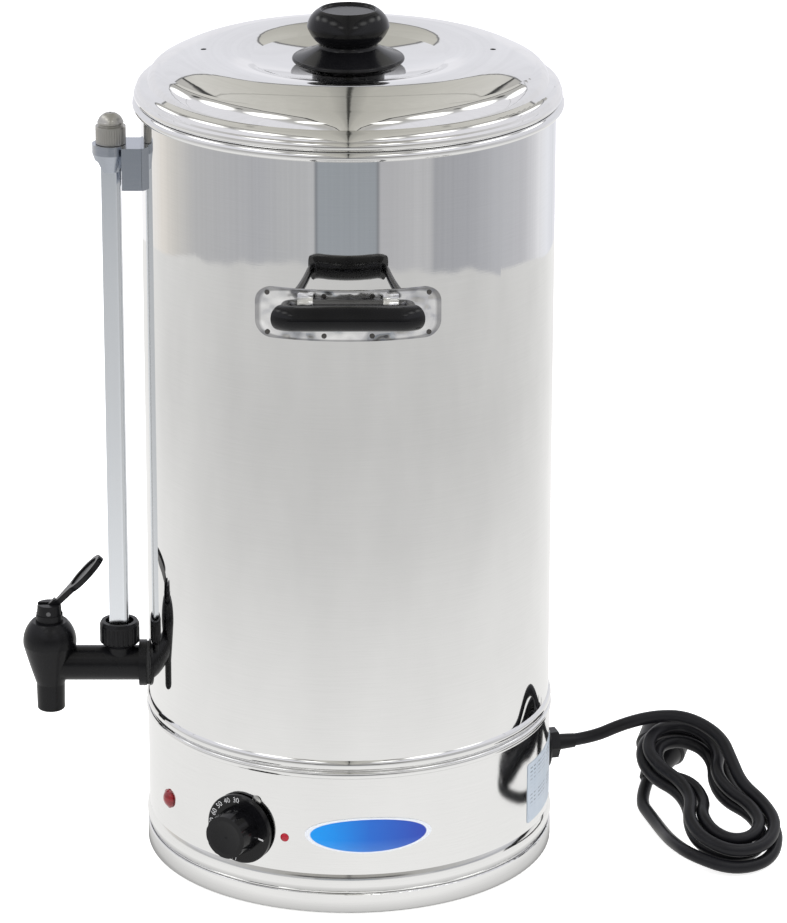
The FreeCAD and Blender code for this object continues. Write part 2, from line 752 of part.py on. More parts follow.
def controls():
    seat = thermostat_seat()
    plate = box(-bracket_width / 2, bracket_width / 2, -bracket_height / 2, bracket_height / 2,
                -bracket_thick, 0)
    plate = plate.cut(Part.makeCylinder(shaft_hole_radius, 9, Vector(0, 0, -5)))
    screws = []
    for side in (-1, 1):
        aside = side * bracket_screw_offset
        rise = side * bracket_screw_rise
        plate = plate.cut(Part.makeCylinder(bracket_screw_radius + bore_gap, 9, Vector(aside, rise, -5)))
        head_out = math.sqrt(base_outer ** 2 - (bracket_screw_offset - bracket_screw_head) ** 2)
        shank = Part.makeCylinder(bracket_screw_radius, head_out - seat + 5.3, Vector(aside, rise, -5))
        dome = (bracket_screw_head ** 2 + bracket_screw_proud ** 2) / (2 * bracket_screw_proud)
        head = Part.makeSphere(dome, Vector(aside, rise, head_out - seat + bracket_screw_proud - dome))
        head = head.common(Part.makeCylinder(bracket_screw_head * 2, bracket_screw_head,
                                             Vector(aside, rise, head_out - seat + 0.1)))
        screws.append(on_wall(shank.fuse(head).removeSplitter(), dial_azimuth, seat, dial_height))
    save("thermostat_bracket", on_wall(plate, dial_azimuth, seat, dial_height))
    save("bracket_screws", *screws)

    half = thermostat_size / 2
    body = box(-half, half, -half, half, -bracket_thick - thermostat_depth, -bracket_thick)
    body = body.makeFillet(2.0, [e for e in body.Edges if abs(e.tangentAt(0).z) > 0.9])
    body = body.fuse(Part.makeCylinder(shaft_hole_radius - 0.2, bracket_thick + 1.5,
                                       Vector(0, 0, -bracket_thick)))
    body = body.cut(Part.makeCylinder(shaft_radius + bore_gap, 12, Vector(0, 0, -bracket_thick - 8)))
    for side in (-1, 1):
        tab = box(side * 9 - 3, side * 9 + 3, -6, -5.2, -bracket_thick - thermostat_depth - 6,
                  -bracket_thick - thermostat_depth)
        body = body.fuse(tab)
    save("thermostat_body", on_wall(body, dial_azimuth, seat, dial_height))

    back = base_outer + dial_stand_off - seat
    shaft = Part.makeCylinder(shaft_radius, back + shaft_reach + bracket_thick + 7.5,
                              Vector(0, 0, -bracket_thick - 7.5))
    flat = box(-9, 9, shaft_radius - 1.2, 9, back - 1, back + shaft_reach + 9)
    save("thermostat_shaft", on_wall(shaft.cut(flat), dial_azimuth, seat, dial_height))
    save("control_knob", on_wall(knob_solid(flat), dial_azimuth, seat, dial_height))

    stem_in = base_inner - seat
    dot = Part.makeSphere(index_radius * 1.6, Vector(0, 0, index_proud - index_radius * 1.6))
    dot = dot.common(Part.makeCylinder(index_radius, 9, Vector(0, 0, 0.1)))
    dot = dot.fuse(Part.makeCylinder(index_stem_radius, base_wall + 2.0, Vector(0, 0, -base_wall - 1.9)))
    save("index_dot", on_wall(dot, index_azimuth, base_outer, index_height))

    lens = Part.makeSphere(lamp_lens_radius * 1.12, Vector(0, 0, lamp_lens_proud - lamp_lens_radius * 1.12))
    lens = lens.common(Part.makeCylinder(lamp_lens_radius, 20, Vector(0, 0, 0.9)))
    lens = lens.fuse(Part.makeCylinder(lamp_lens_radius, 0.8, Vector(0, 0, 0.1))).removeSplitter()
    save("lamp_lens", on_wall(lens, lamp_azimuth, base_outer, lamp_height))
    barrel = Part.makeCylinder(lamp_barrel_radius, lamp_barrel_length + base_wall + 0.1,
                               Vector(0, 0, -lamp_barrel_length - base_wall))
    seat_in = math.sqrt(base_inner ** 2 - lamp_nut_radius ** 2) - base_outer
    nut = Part.makeCylinder(lamp_nut_radius, lamp_nut_thick, Vector(0, 0, seat_in - lamp_nut_thick))
    nut = nut.cut(Part.makeCylinder(lamp_barrel_radius + bore_gap, 30, Vector(0, 0, -20)))
    save("lamp_body", on_wall(barrel, lamp_azimuth, base_outer, lamp_height),
         on_wall(nut, lamp_azimuth, base_outer, lamp_height))

    radius = base_outer + sticker_gap
    rim = Part.Ellipse(Vector(0, 0, 0), radius * math.sin(badge_width / 2 / radius), badge_tall / 2).toShape()
    oval = Part.Face(Part.Wire(rim)).extrude(Vector(0, 0, radius))
    oval.translate(Vector(0, 0, -radius / 2))
    save("badge_plate", wrapped(oval, badge_azimuth, badge_height, radius, badge_thick))
    half = radius * math.sin(label_width / 2 / radius)
    sheet = box(-half, half, -label_tall / 2, label_tall / 2, -radius / 2, radius / 2)
    sheet = sheet.makeFillet(label_corner, [e for e in sheet.Edges if abs(e.tangentAt(0).z) > 0.9])
    save("rating_label", wrapped(sheet, label_azimuth, label_height, radius, label_thick))


def knob_solid(flat):
    """Dial disc with a lobed grip, in the thermostat's local frame."""
    back = base_outer + dial_stand_off - thermostat_seat()
    front = back + dial_thick
    disc = Part.makeCylinder(dial_radius, dial_thick, Vector(0, 0, back))
    disc = disc.makeChamfer(0.8, [e for e in disc.Edges if abs(e.BoundBox.ZMin - front) < 0.01
                                  and abs(e.BoundBox.ZMax - front) < 0.01])
    top = front + dial_grip_height
    grip = Part.makeCone(dial_grip_radius, dial_grip_radius - 1.2, dial_grip_height, Vector(0, 0, front))
    for k in range(dial_lobes):
        angle = 2 * math.pi * (k + 0.5) / dial_lobes
        away = dial_grip_radius + dial_lobe_radius - dial_lobe_depth
        groove = Part.makeCylinder(dial_lobe_radius, dial_grip_height + 2,
                                   Vector(away * math.cos(angle), away * math.sin(angle), front + 0.6))
        grip = grip.cut(groove)
    dish = Part.makeSphere(60, Vector(0, 0, top + 60 - 1.2))
    knob = disc.fuse(grip.cut(dish)).removeSplitter()
    bore = Part.makeCylinder(shaft_radius + bore_gap, shaft_reach + 0.3, Vector(0, 0, back - 0.01))
    return knob.cut(bore.cut(flat))


def wrapped(block, azimuth, height, radius, thick):
    """The part of a block, drawn flat on the wall, that lies in a thin skin round it."""
    tall = block.BoundBox.YLength
    skin = tube(radius + thick, radius, (0, 0, height - tall), (0, 0, height + tall))
    return on_wall(block, azimuth, radius, height).common(skin)


# Things inside the base

def inside():
    block = box(-block_length / 2, block_length / 2, 0, block_height, -block_depth / 2, block_depth / 2)
    screws = []
    for k in range(block_ways):
        x = block_way(k)
        block = block.cut(rod(2.6, (x, block_height - 5, 0), (x, block_height + 1, 0)))
        block = block.cut(rod(wire_radius + 0.2, (x, block_entry, -block_depth), (x, block_entry, -block_depth / 2 + 5)))
        screws.append(on_wall(rod(2.4, (x, block_height - 5, 0), (x, block_height - 1.5, 0)),
                              block_azimuth, block_radius, plate_top))
    block = block.cut(rod(cord_radius - 1.0, (0, block_entry, block_depth / 2 - 4), (0, block_entry, block_depth)))
    save("terminal_block", on_wall(block, block_azimuth, block_radius, plate_top), *screws)

    low = tank_floor_top - tank_floor_thick
    centre = (cutout_x, cutout_y)
    plate = rod(cutout_flange_radius, centre + (low - cutout_flange_thick,), centre + (low,))
    can = rod(cutout_radius, centre + (low - cutout_height,), centre + (low - cutout_flange_thick,))
    can = can.fuse(plate).removeSplitter()
    for side in (-1, 1):
        x = cutout_x + side * 4
        can = can.fuse(box(x - 0.4, x + 0.4, cutout_y - 3, cutout_y + 3, low - cutout_height - 7,
                           low - cutout_height))
    save("thermal_cutout", can)

    bulb_z = low - bulb_radius
    bulb = rod(bulb_radius, (bulb_x, bulb_y - bulb_length / 2, bulb_z), (bulb_x, bulb_y + bulb_length / 2, bulb_z))
    body_back = wall_frame(dial_azimuth, thermostat_seat(), dial_height).multVec(
        Vector(0, 0, -bracket_thick - thermostat_depth))
    path = rounded_path([(bulb_x, bulb_y - bulb_length / 2, bulb_z), (bulb_x, bulb_y - bulb_length / 2 - 18, bulb_z),
                         (body_back.x + 14, body_back.y + 24.2, dial_height + 12),
                         (body_back.x, body_back.y, dial_height + 12)], [8, 12])
    save("thermostat_bulb", bulb.fuse(sweep(path, capillary_radius)))
    clip = box(bulb_x - bulb_radius - 7, bulb_x + bulb_radius + 1, bulb_y - 5, bulb_y + 5, low - 2 * bulb_radius - 1, low)
    clip = clip.cut(rod(bulb_radius, (bulb_x, bulb_y - 9, bulb_z), (bulb_x, bulb_y + 9, bulb_z)))
    clip = clip.cut(box(bulb_x - bulb_radius, bulb_x + bulb_radius, bulb_y - 9, bulb_y + 9, bulb_z, low + 1))
    clip = clip.cut(box(bulb_x - bulb_radius - 9, bulb_x - bulb_radius - 1, bulb_y - 9, bulb_y + 9,
                        low - 2 * bulb_radius - 3, low - 1))
    save("bulb_clip", clip)
    wiring(body_back, low)


def block_way(k):
    return (k - (block_ways - 1) / 2) * block_length / block_ways


def wiring(body_back, low):
    """Single wires between the terminal block, thermostat, heating element, cut-out and lamp."""
    block = wall_frame(block_azimuth, block_radius, plate_top)
    inward = wall_frame(block_azimuth, 0, 0).multVec(Vector(0, 0, 1)) * -1
    ways = [block.multVec(Vector(block_way(k), block_entry, -block_depth / 2 + 5)) for k in range(block_ways)]
    tab = wall_frame(dial_azimuth, thermostat_seat(), dial_height)
    tab_in = wall_frame(dial_azimuth, 0, 0).multVec(Vector(0, 0, 1)) * -1
    tabs = [tab.multVec(Vector(x, -5.6, -bracket_thick - thermostat_depth - 6)) for x in (-9, 9)]
    legs = [Vector(x, y, element_leg_end) for x, y in element_legs()]
    lamp = wall_frame(lamp_azimuth, base_outer - base_wall - lamp_barrel_length, lamp_height).multVec(Vector(0, 0, 0))
    lamp_in = wall_frame(lamp_azimuth, 0, 0).multVec(Vector(0, 0, 1)) * -1
    can = [Vector(cutout_x + side * 4, cutout_y, low - cutout_height - 7) for side in (-1, 1)]
    down = Vector(0, 0, -1)
    runs = (
        (ways[0], inward, tabs[1], tab_in, 34.0),
        (ways[2], inward, legs[1], down, 40.0),
        (tabs[0], tab_in, can[0], down, 46.0),
        (can[1], down, legs[0], down, 66.0),
        (lamp, lamp_in, can[0] + Vector(0, 2.2, 0), down, 26.0),
        (ways[1], inward, Vector(tie_radius, 0, 52.0), Vector(1, 0, 0), 22.0))
    wires = []
    for start, out_1, end, out_2, level in runs:
        a = start + out_1 * 12
        b = end + out_2 * 12
        points = [start, a, Vector(a.x, a.y, level), Vector(b.x, b.y, level), b, end]
        points = [p for k, p in enumerate(points) if k == 0 or (p - points[k - 1]).Length > 6]
        keep = [points[0]]
        for k in range(1, len(points) - 1):
            turn = (points[k] - keep[-1]).getAngle(points[k + 1] - points[k])
            if turn > 0.05:
                keep.append(points[k])
        keep.append(points[-1])
        wires.append(sweep(rounded_path(keep, [3.0] * (len(keep) - 2)), wire_radius))
    save("internal_wiring", *wires)


# Tap

def tap():
    axis = tap_axis_height
    wall_side = -tank_radius - tap_seal_thick
    collar_out = wall_side - tap_flange_thick
    body = Part.Face(outline(
        point(0, spout_low), point(spout_radius - 1.6, spout_low),
        (point(spout_radius - 0.5, spout_low + 0.5), point(spout_radius, spout_low + 2.2)),
        point(spout_radius + 0.3, spout_waist_height),
        (point(tap_bulge_radius - 3.9, spout_waist_height + 15.0), point(tap_bulge_radius, tap_bulge_height)),
        (point(tap_bulge_radius - 1.0, tap_bulge_height + 9.0),
         point(tap_shoulder_radius, tap_shoulder_height)),
        point(0, tap_shoulder_height))).revolve(Vector(0, 0, 0), Vector(0, 0, 1), 360)
    body.translate(Vector(tap_x, 0, 0))
    shank = rod(shank_radius, (tap_x + 4, 0, axis), (collar_out, 0, axis))
    stub = rod(tap_thread_radius, (collar_out - 1, 0, axis), (tap_thread_end, 0, axis))
    tee = rod(tee_radius, (glass_x, 0, axis), (glass_x, 0, tee_top))
    body = body.fuse([shank, stub, tee]).removeSplitter()
    cuts = [
        rod(spout_bore, (tap_x, 0, spout_low - 1), (tap_x, 0, seat_height + 1)),
        rod(chamber_radius, (tap_x, 0, seat_height), (tap_x, 0, tap_shoulder_height + 1)),
        rod(shank_bore, (tap_x, 0, axis), (tap_thread_end + 1, 0, axis)),
        rod(glass_radius - glass_wall, (glass_x, 0, axis), (glass_x, 0, tee_top + 1)),
        rod(glass_radius + bore_gap, (glass_x, 0, glass_low), (glass_x, 0, tee_top + 1))]
    for cutter in cuts:
        body = body.cut(cutter)
    save("tap_body", body)

    skin = rod(tank_radius + 0.02, (0, 0, axis - 30), (0, 0, axis + 30))
    inner_skin = rod(tank_inner - 0.02, (0, 0, axis - 30), (0, 0, axis + 30))
    bore = tap_thread_radius + bore_gap
    save("tap_flange", tube(tap_flange_radius, bore, (collar_out, 0, axis), (wall_side, 0, axis)))
    outer_seal = tube(tap_flange_radius - 1.0, bore, (wall_side, 0, axis), (-tank_radius + 2, 0, axis))
    inner_side = -tank_inner + tap_seal_thick
    inner_seal = tube(tap_nut_radius - 1.0, bore, (-tank_inner - 1, 0, axis), (inner_side, 0, axis))
    save("tap_seals", outer_seal.cut(skin), inner_seal.common(inner_skin))
    nut = prism(tap_nut_radius * 1.8, (inner_side, 0, axis), tap_nut_thick, (1, 0, 0))
    save("tap_inner_nut", nut.cut(rod(bore, (-tank_radius, 0, axis), (-90, 0, axis))))

    shoulder = tap_shoulder_height
    ring_top = shoulder + bonnet_ring_height
    bonnet = rod(bonnet_radius, (tap_x, 0, shoulder), (tap_x, 0, ring_top))
    bonnet = bonnet.fuse(cone(bonnet_top_radius + 0.6, bonnet_top_radius, (tap_x, 0, ring_top), (tap_x, 0, bonnet_top)))
    bonnet = bonnet.fuse(rod(chamber_radius - bore_gap, (tap_x, 0, shoulder - bonnet_thread_depth), (tap_x, 0, shoulder)))
    bonnet = bonnet.removeSplitter()
    half = bonnet_slot / 2
    bonnet = bonnet.cut(box(tap_x - 12, tap_x + 12, -half, half, shoulder + 2.4, bonnet_top + 1))
    bonnet = bonnet.cut(rod(stem_radius + 0.15, (tap_x, 0, shoulder - 20), (tap_x, 0, bonnet_top)))
    bonnet = bonnet.cut(rod(spring_radius + 1.2, (tap_x, 0, shoulder - 20), (tap_x, 0, shoulder - 2.0)))
    bonnet = bonnet.cut(rod(lever_pin_radius, (tap_x, -12, lever_pivot_height), (tap_x, 12, lever_pivot_height)))
    save("tap_bonnet", bonnet)
    save("tap_lever_pin", rod(lever_pin_radius, (tap_x, -bonnet_top_radius - 0.3, lever_pivot_height),
                              (tap_x, bonnet_top_radius + 0.3, lever_pivot_height)))

    # The stem carries the seat cup, and just meets the lever's hub when it is lifted
    stem_top = lever_pivot_height - lever_hub_radius - 0.2 - stem_travel
    cup_low = seat_height + cup_gap
    cup_top = cup_low + cup_height
    stem = rod(stem_radius, (tap_x, 0, cup_top - 4), (tap_x, 0, stem_top))
    stem = stem.fuse(rod(stem_radius * 2, (tap_x, 0, cup_top), (tap_x, 0, cup_top + 1.4)))
    save("tap_stem", stem.removeSplitter())
    cup = cone(cup_radius - 1.8, cup_radius, (tap_x, 0, cup_low), (tap_x, 0, cup_low + 2.4))
    cup = cup.fuse(rod(cup_radius, (tap_x, 0, cup_low + 2.4), (tap_x, 0, cup_top))).removeSplitter()
    save("tap_seat_cup", cup.cut(rod(stem_radius, (tap_x, 0, cup_top - 4), (tap_x, 0, cup_top + 1))))
    low = cup_top + 1.4 + spring_wire
    high = shoulder - 2.0 - spring_wire
    save("tap_spring", coil_spring(low, high))
    save("tap_lever", lever_solid())


def coil_spring(low, high):
    """Round wire wound in half-turn arcs that climb at a steady rate."""
    rise = (high - low) / (2 * spring_turns)
    steps = 8
    points = []
    for k in range(spring_turns * steps + 1):
        angle = 2 * math.pi * k / steps
        points.append(Vector(tap_x + spring_radius * math.cos(angle), spring_radius * math.sin(angle),
                             low + rise * 2 * k / steps))
    curves = []
    for k in range(0, len(points) - 2, 2):
        curves.append(Part.Arc(points[k], points[k + 1], points[k + 2]).toShape())
    return sweep(Part.Wire(curves), spring_wire)


def lever_solid():
    """Lever with an oval paddle, modelled upright about its pivot, then leant towards the tank."""
    half = lever_thick / 2
    hub = rod(lever_hub_radius, (0, -half, 0), (0, half, 0))
    hub = hub.fuse(box(-lever_hub_radius * 0.9, lever_hub_radius * 0.7, -half, half, 0, 9))
    arm_top = lever_length - 2 * paddle_radius * paddle_stretch
    low = Part.makePolygon([Vector(-1.8, -half, 7), Vector(2.4, -half, 7), Vector(2.4, half, 7),
                            Vector(-1.8, half, 7), Vector(-1.8, -half, 7)])
    wide = paddle_radius * 0.55
    top_z = arm_top + 5
    high = Part.makePolygon([Vector(-1.8, -wide, top_z), Vector(paddle_thick - 1.8, -wide, top_z),
                             Vector(paddle_thick - 1.8, wide, top_z), Vector(-1.8, wide, top_z),
                             Vector(-1.8, -wide, top_z)])
    arm = Part.makeLoft([low, high], True, True)
    middle = lever_length - paddle_radius * paddle_stretch
    oval = Part.Ellipse(Vector(0, 0, 0), paddle_radius * paddle_stretch, paddle_radius)
    recess = Part.Ellipse(Vector(0, 0, 0), paddle_radius * paddle_stretch - 3.4, paddle_radius - 3.0)
    upright = FreeCAD.Rotation(Vector(0, 1, 0), -90)
    paddle = Part.Face(Part.Wire(oval.toShape())).extrude(Vector(0, 0, paddle_thick))
    hollow = Part.Face(Part.Wire(recess.toShape())).extrude(Vector(0, 0, paddle_recess))
    paddle.Placement = FreeCAD.Placement(Vector(paddle_thick - 1.8, 0, middle), upright)
    hollow.Placement = FreeCAD.Placement(Vector(-1.8 + paddle_recess, 0, middle), upright)
    lever = hub.fuse([arm, paddle]).cut(hollow).removeSplitter()
    lever = lever.cut(rod(lever_pin_radius + bore_gap, (0, -9, 0), (0, 9, 0)))
    lever.rotate(Vector(0, 0, 0), Vector(0, 1, 0), lever_angle)
    lever.translate(Vector(tap_x, 0, lever_pivot_height))
    return lever


# Sight glass

def sight_glass():
    wall = glass_radius - glass_wall
    save("sight_tube", tube(glass_radius, wall, (glass_x, 0, glass_low + seat_gap), (glass_x, 0, glass_top)))

    back = glass_x + shield_depth / 2
    front = glass_x - shield_depth / 2
    half = shield_width / 2
    outer = box(front, back, -half, half, shield_low, shield_top)
    outer = outer.makeFillet(shield_corner, [e for e in outer.Edges if abs(e.tangentAt(0).z) > 0.9
                                             and e.BoundBox.XMin > glass_x])
    inner = box(front - 1, back - shield_wall, -half + shield_wall, half - shield_wall,
                shield_low - 1, shield_top + 1)
    inner = inner.makeFillet(shield_corner - shield_wall, [e for e in inner.Edges if abs(e.tangentAt(0).z) > 0.9
                                                           and e.BoundBox.XMin > glass_x])
    save("sight_shield", outer.cut(inner))

    recess = sight_nut_top - sight_nut_recess
    nut = rod(sight_nut_radius, (glass_x, 0, sight_nut_low + 3.0), (glass_x, 0, sight_nut_top - 2.2))
    nut = nut.fuse(cone(sight_nut_radius - 3.0, sight_nut_radius, (glass_x, 0, sight_nut_low),
                        (glass_x, 0, sight_nut_low + 3.0)))
    nut = nut.fuse(cone(sight_nut_radius, sight_nut_radius - 1.2, (glass_x, 0, sight_nut_top - 2.2),
                        (glass_x, 0, sight_nut_top))).removeSplitter()
    seal_top = tee_top + seal_thick
    nut = nut.cut(rod(tee_radius + bore_gap, (glass_x, 0, sight_nut_low - 1), (glass_x, 0, seal_top)))
    nut = nut.cut(rod(sight_nut_recess_radius, (glass_x, 0, recess), (glass_x, 0, sight_nut_top + 1)))
    nut = nut.cut(rod(glass_radius + bore_gap, (glass_x, 0, sight_nut_low), (glass_x, 0, recess + 1)))
    for k in range(24):
        angle = 2 * math.pi * k / 24
        x = glass_x + (sight_nut_radius + 0.5) * math.cos(angle)
        y = (sight_nut_radius + 0.5) * math.sin(angle)
        nut = nut.cut(rod(1.0, (x, y, sight_nut_low + 3.2), (x, y, sight_nut_top - 3.4)))
    save("sight_nut", nut)
    low_seal = tube(tee_radius - 0.6, glass_radius + bore_gap, (glass_x, 0, tee_top), (glass_x, 0, seal_top))

    # The bracket: a nose round the glass, and a folded box that spans to the tank
    nose_low = bracket_top - nose_band
    nose = rod(nose_radius, (glass_x, 0, nose_low), (glass_x, 0, bracket_top))
    nose = nose.fuse(cone(nose_low_radius, nose_radius, (glass_x, 0, nose_low - nose_cone), (glass_x, 0, nose_low)))
    span = box(glass_x, -tank_radius + 4, -bracket_half_width, bracket_half_width, bracket_low, bracket_top)
    hollow = box(glass_x + 2, -tank_radius - bracket_sheet, -bracket_half_width + bracket_sheet,
                 bracket_half_width - bracket_sheet, bracket_low - 1, bracket_top - bracket_sheet)
    hollow = hollow.cut(rod(nose_low_radius, (glass_x, 0, bracket_low - 2), (glass_x, 0, bracket_top)))
    span = span.cut(box(glass_x - 1, back + 1.0, -tank_radius, tank_radius, bracket_low - 1, bracket_top + 1))
    nipple = rod(nipple_radius, (glass_x, 0, bracket_top), (glass_x, 0, bracket_top + nipple_height))
    bracket = nose.fuse([span.cut(hollow), nipple]).removeSplitter()
    grip_back = box(front - 9, back + seat_gap, -half - seat_gap, half + seat_gap, bracket_low - 5, shield_top + seat_gap)
    bracket = bracket.cut(grip_back)
    bracket = bracket.cut(rod(glass_radius + bore_gap, (glass_x, 0, bracket_low - 9), (glass_x, 0, bracket_top + 30)))
    bracket = bracket.cut(rod(tank_radius + 0.02, (0, 0, bracket_low - 9), (0, 0, bracket_top + 9)))
    screws = []
    for side in (-1, 1):
        y = side * sight_screw_offset
        bracket = bracket.cut(rod(sight_screw_radius - 0.3, (-tank_radius - sight_screw_length, y, sight_screw_height),
                                  (-tank_radius + 9, y, sight_screw_height)))
        seat = -math.sqrt(tank_inner ** 2 - (sight_screw_offset + sight_screw_head) ** 2) + 0.1
        screw = rod(sight_screw_radius - 0.3, (-tank_radius - 2, y, sight_screw_height), (seat + 1, y, sight_screw_height))
        screws.append(screw.fuse(rod(sight_screw_head, (seat, y, sight_screw_height),
                                     (seat + 2.6, y, sight_screw_height))).removeSplitter())
    save("sight_bracket", bracket)
    save("sight_bracket_screws", *screws)

    skirt = bracket_top + seat_gap
    cap = rod(cap_radius, (glass_x, 0, skirt), (glass_x, 0, skirt + cap_skirt_height))
    for k in range(36):
        angle = 2 * math.pi * k / 36
        x = glass_x + (cap_radius + 0.35) * math.cos(angle)
        y = (cap_radius + 0.35) * math.sin(angle)
        cap = cap.cut(rod(0.6, (x, y, skirt + 0.8), (x, y, skirt + cap_skirt_height - 1.0)))
    dome_low = skirt + cap_skirt_height
    dome = Part.Face(outline(
        point(0, dome_low - 1), point(cap_top_radius - 0.6, dome_low - 1),
        point(cap_top_radius - 0.6, dome_low + 1.2), (point(cap_top_radius, dome_low + 1.9),
                                                      point(cap_top_radius - 0.3, dome_low + 3.6)),
        (point(cap_top_radius - 3.0, dome_low + cap_top_height - 1.6), point(2.6, dome_low + cap_top_height)),
        point(0, dome_low + cap_top_height))).revolve(Vector(0, 0, 0), Vector(0, 0, 1), 360)
    dome.translate(Vector(glass_x, 0, 0))
    cap = cap.fuse(dome).removeSplitter()
    cap = cap.cut(rod(nipple_radius + bore_gap, (glass_x, 0, skirt - 1),
                      (glass_x, 0, bracket_top + nipple_height + top_seal_thick)))
    cap = cap.cut(rod(cap_vent_radius, (glass_x, 0, skirt), (glass_x, 0, dome_low + cap_top_height + 1)))
    save("sight_cap", cap)
    nipple_top = bracket_top + nipple_height
    top_seal = tube(nipple_radius - 0.4, glass_radius - 1.4, (glass_x, 0, nipple_top),
                    (glass_x, 0, nipple_top + top_seal_thick))
    save("sight_seals", low_seal, top_seal)


# Handles

def handle(name, turn):
    """One handle, modelled at the front and turned into place; its spot welds are returned."""
    inner = tank_radius + handle_plate_gap
    outer = inner + handle_plate_thick
    half_x = outer * math.sin(math.radians(plate_half_angle))
    block = box(-half_x, half_x, -outer - 20, -inner * 0.7, plate_centre_height - plate_tall / 2,
                plate_centre_height + plate_tall / 2)
    block = block.makeFillet(plate_corner, [e for e in block.Edges if abs(e.tangentAt(0).y) > 0.9])
    low = plate_centre_height - plate_tall
    high = plate_centre_height + plate_tall
    plate = block.common(tube(outer, inner, (0, 0, low), (0, 0, high)))
    hinge = Vector(0, -grip_axis_y, hinge_height)
    shell = bail_radius + 0.25 + strap_thick
    for side in (-1, 1):
        x0, x1 = sorted((side * strap_inner, side * strap_outer))
        strap = rod(shell, (x0, hinge.y, hinge.z), (x1, hinge.y, hinge.z))
        strap = strap.fuse(box(x0, x1, hinge.y, -inner * 0.8, hinge.z - shell, hinge.z + shell))
        room = rod(bail_radius + 0.25, (x0 - 1, hinge.y, hinge.z), (x1 + 1, hinge.y, hinge.z))
        room = room.fuse(box(x0 - 1, x1 + 1, hinge.y, hinge.y + bail_radius + 0.3, hinge.z - bail_radius - 0.25,
                             hinge.z + bail_radius + 0.25))
        plate = plate.fuse(strap.cut(room))
    plate = plate.cut(rod(inner, (0, 0, low), (0, 0, high)))
    plate = plate.removeSplitter()

    tilt = math.radians(bail_tilt)
    away = Vector(0, -math.cos(tilt), math.sin(tilt))

    def spot(x, reach):
        return hinge + Vector(x, 0, 0) + away * reach

    corners = [spot(0, bail_reach), spot(bail_outer_half, bail_reach), spot(bail_inner_half, 0),
               spot(-bail_inner_half, 0), spot(-bail_outer_half, bail_reach), spot(0, bail_reach)]
    bends = [bail_outer_bend, bail_inner_bend, bail_inner_bend, bail_outer_bend]
    path = rounded_path(corners, bends)
    bail = sweep(path, bail_radius)

    # The grip follows the bail over its outer run and part of both bends
    lean = math.atan2(bail_outer_half - bail_inner_half, bail_reach)
    reach = bail_outer_bend * math.tan((math.pi / 2 - lean) / 2)
    centre = spot(bail_outer_half - reach, bail_reach - bail_outer_bend)

    def on_bend(angle):
        return centre + Vector(math.sin(angle), 0, 0) * bail_outer_bend + away * (bail_outer_bend * math.cos(angle))

    stop = math.radians(grip_arc)
    right = [on_bend(0), on_bend(stop / 2), on_bend(stop)]
    left = [Vector(-p.x, p.y, p.z) for p in right]
    grip_path = Part.Wire([Part.Arc(left[2], left[1], left[0]).toShape(),
                           Part.LineSegment(left[0], right[0]).toShape(),
                           Part.Arc(right[0], right[1], right[2]).toShape()])
    grip = sweep(grip_path, grip_radius).cut(bail)
    welds = []
    for z in (plate_centre_height - plate_tall / 2 + weld_inset, plate_centre_height + plate_tall / 2 - weld_inset):
        for angle in weld_angles:
            for side in (-1, 1):
                dot = Part.makeCylinder(weld_radius, weld_proud + 0.1, Vector(0, 0, -0.1))
                dot = on_wall(dot, side * angle, outer, z)
                welds.append(dot.cut(rod(outer, (0, 0, low), (0, 0, high))))
    for solid in [plate, bail, grip] + welds:
        solid.rotate(Vector(0, 0, 0), Vector(0, 0, 1), turn)
    save("handle_plate_" + name, plate)
    save("handle_bail_" + name, bail)
    save("handle_grip_" + name, grip)
    return welds


# Mains cord

def biarc(start, way_1, end, way_2):
    """Two tangent arcs from one point and direction to another."""
    gap = end - start
    both = way_1 + way_2
    flat = 2 * (1 - way_1.dot(way_2))
    along = gap.dot(both)
    if flat < 1e-9:
        reach = gap.dot(gap) / (4 * gap.dot(way_2))
    else:
        reach = (-along + math.sqrt(along ** 2 + flat * gap.dot(gap))) / flat
    meet = (start + end + (way_1 - way_2) * reach) * 0.5
    corner_1 = start + way_1 * reach
    corner_2 = end - way_2 * reach
    edges = []
    for a, corner, b in ((start, corner_1, meet), (meet, corner_2, end)):
        back = (a - corner).normalize()
        ahead = (b - corner).normalize()
        half = back.getAngle(ahead) / 2
        if half > math.pi / 2 - 1e-4:
            edges.append(Part.LineSegment(a, b).toShape())
            continue
        radius = (a - corner).Length * math.tan(half)
        middle = corner + (back + ahead).normalize() * (radius / math.sin(half) - radius)
        edges.append(Part.Arc(a, middle, b).toShape())
    return edges


def hank_place():
    """Frame of the hank: local X along its long axis, local Z up from the lowest layer."""
    turn = FreeCAD.Rotation(Vector(0, 0, 1), hank_heading)
    lean = FreeCAD.Rotation(Vector(0, 1, 0), hank_tilt)
    reach = hank_half_length + hank_step * (hank_turns_out - hank_turns_in)
    rise = (reach + cord_radius) * math.sin(math.radians(hank_tilt)) + cord_radius
    return FreeCAD.Placement(Vector(hank_x, hank_y, rise), turn.multiply(lean))


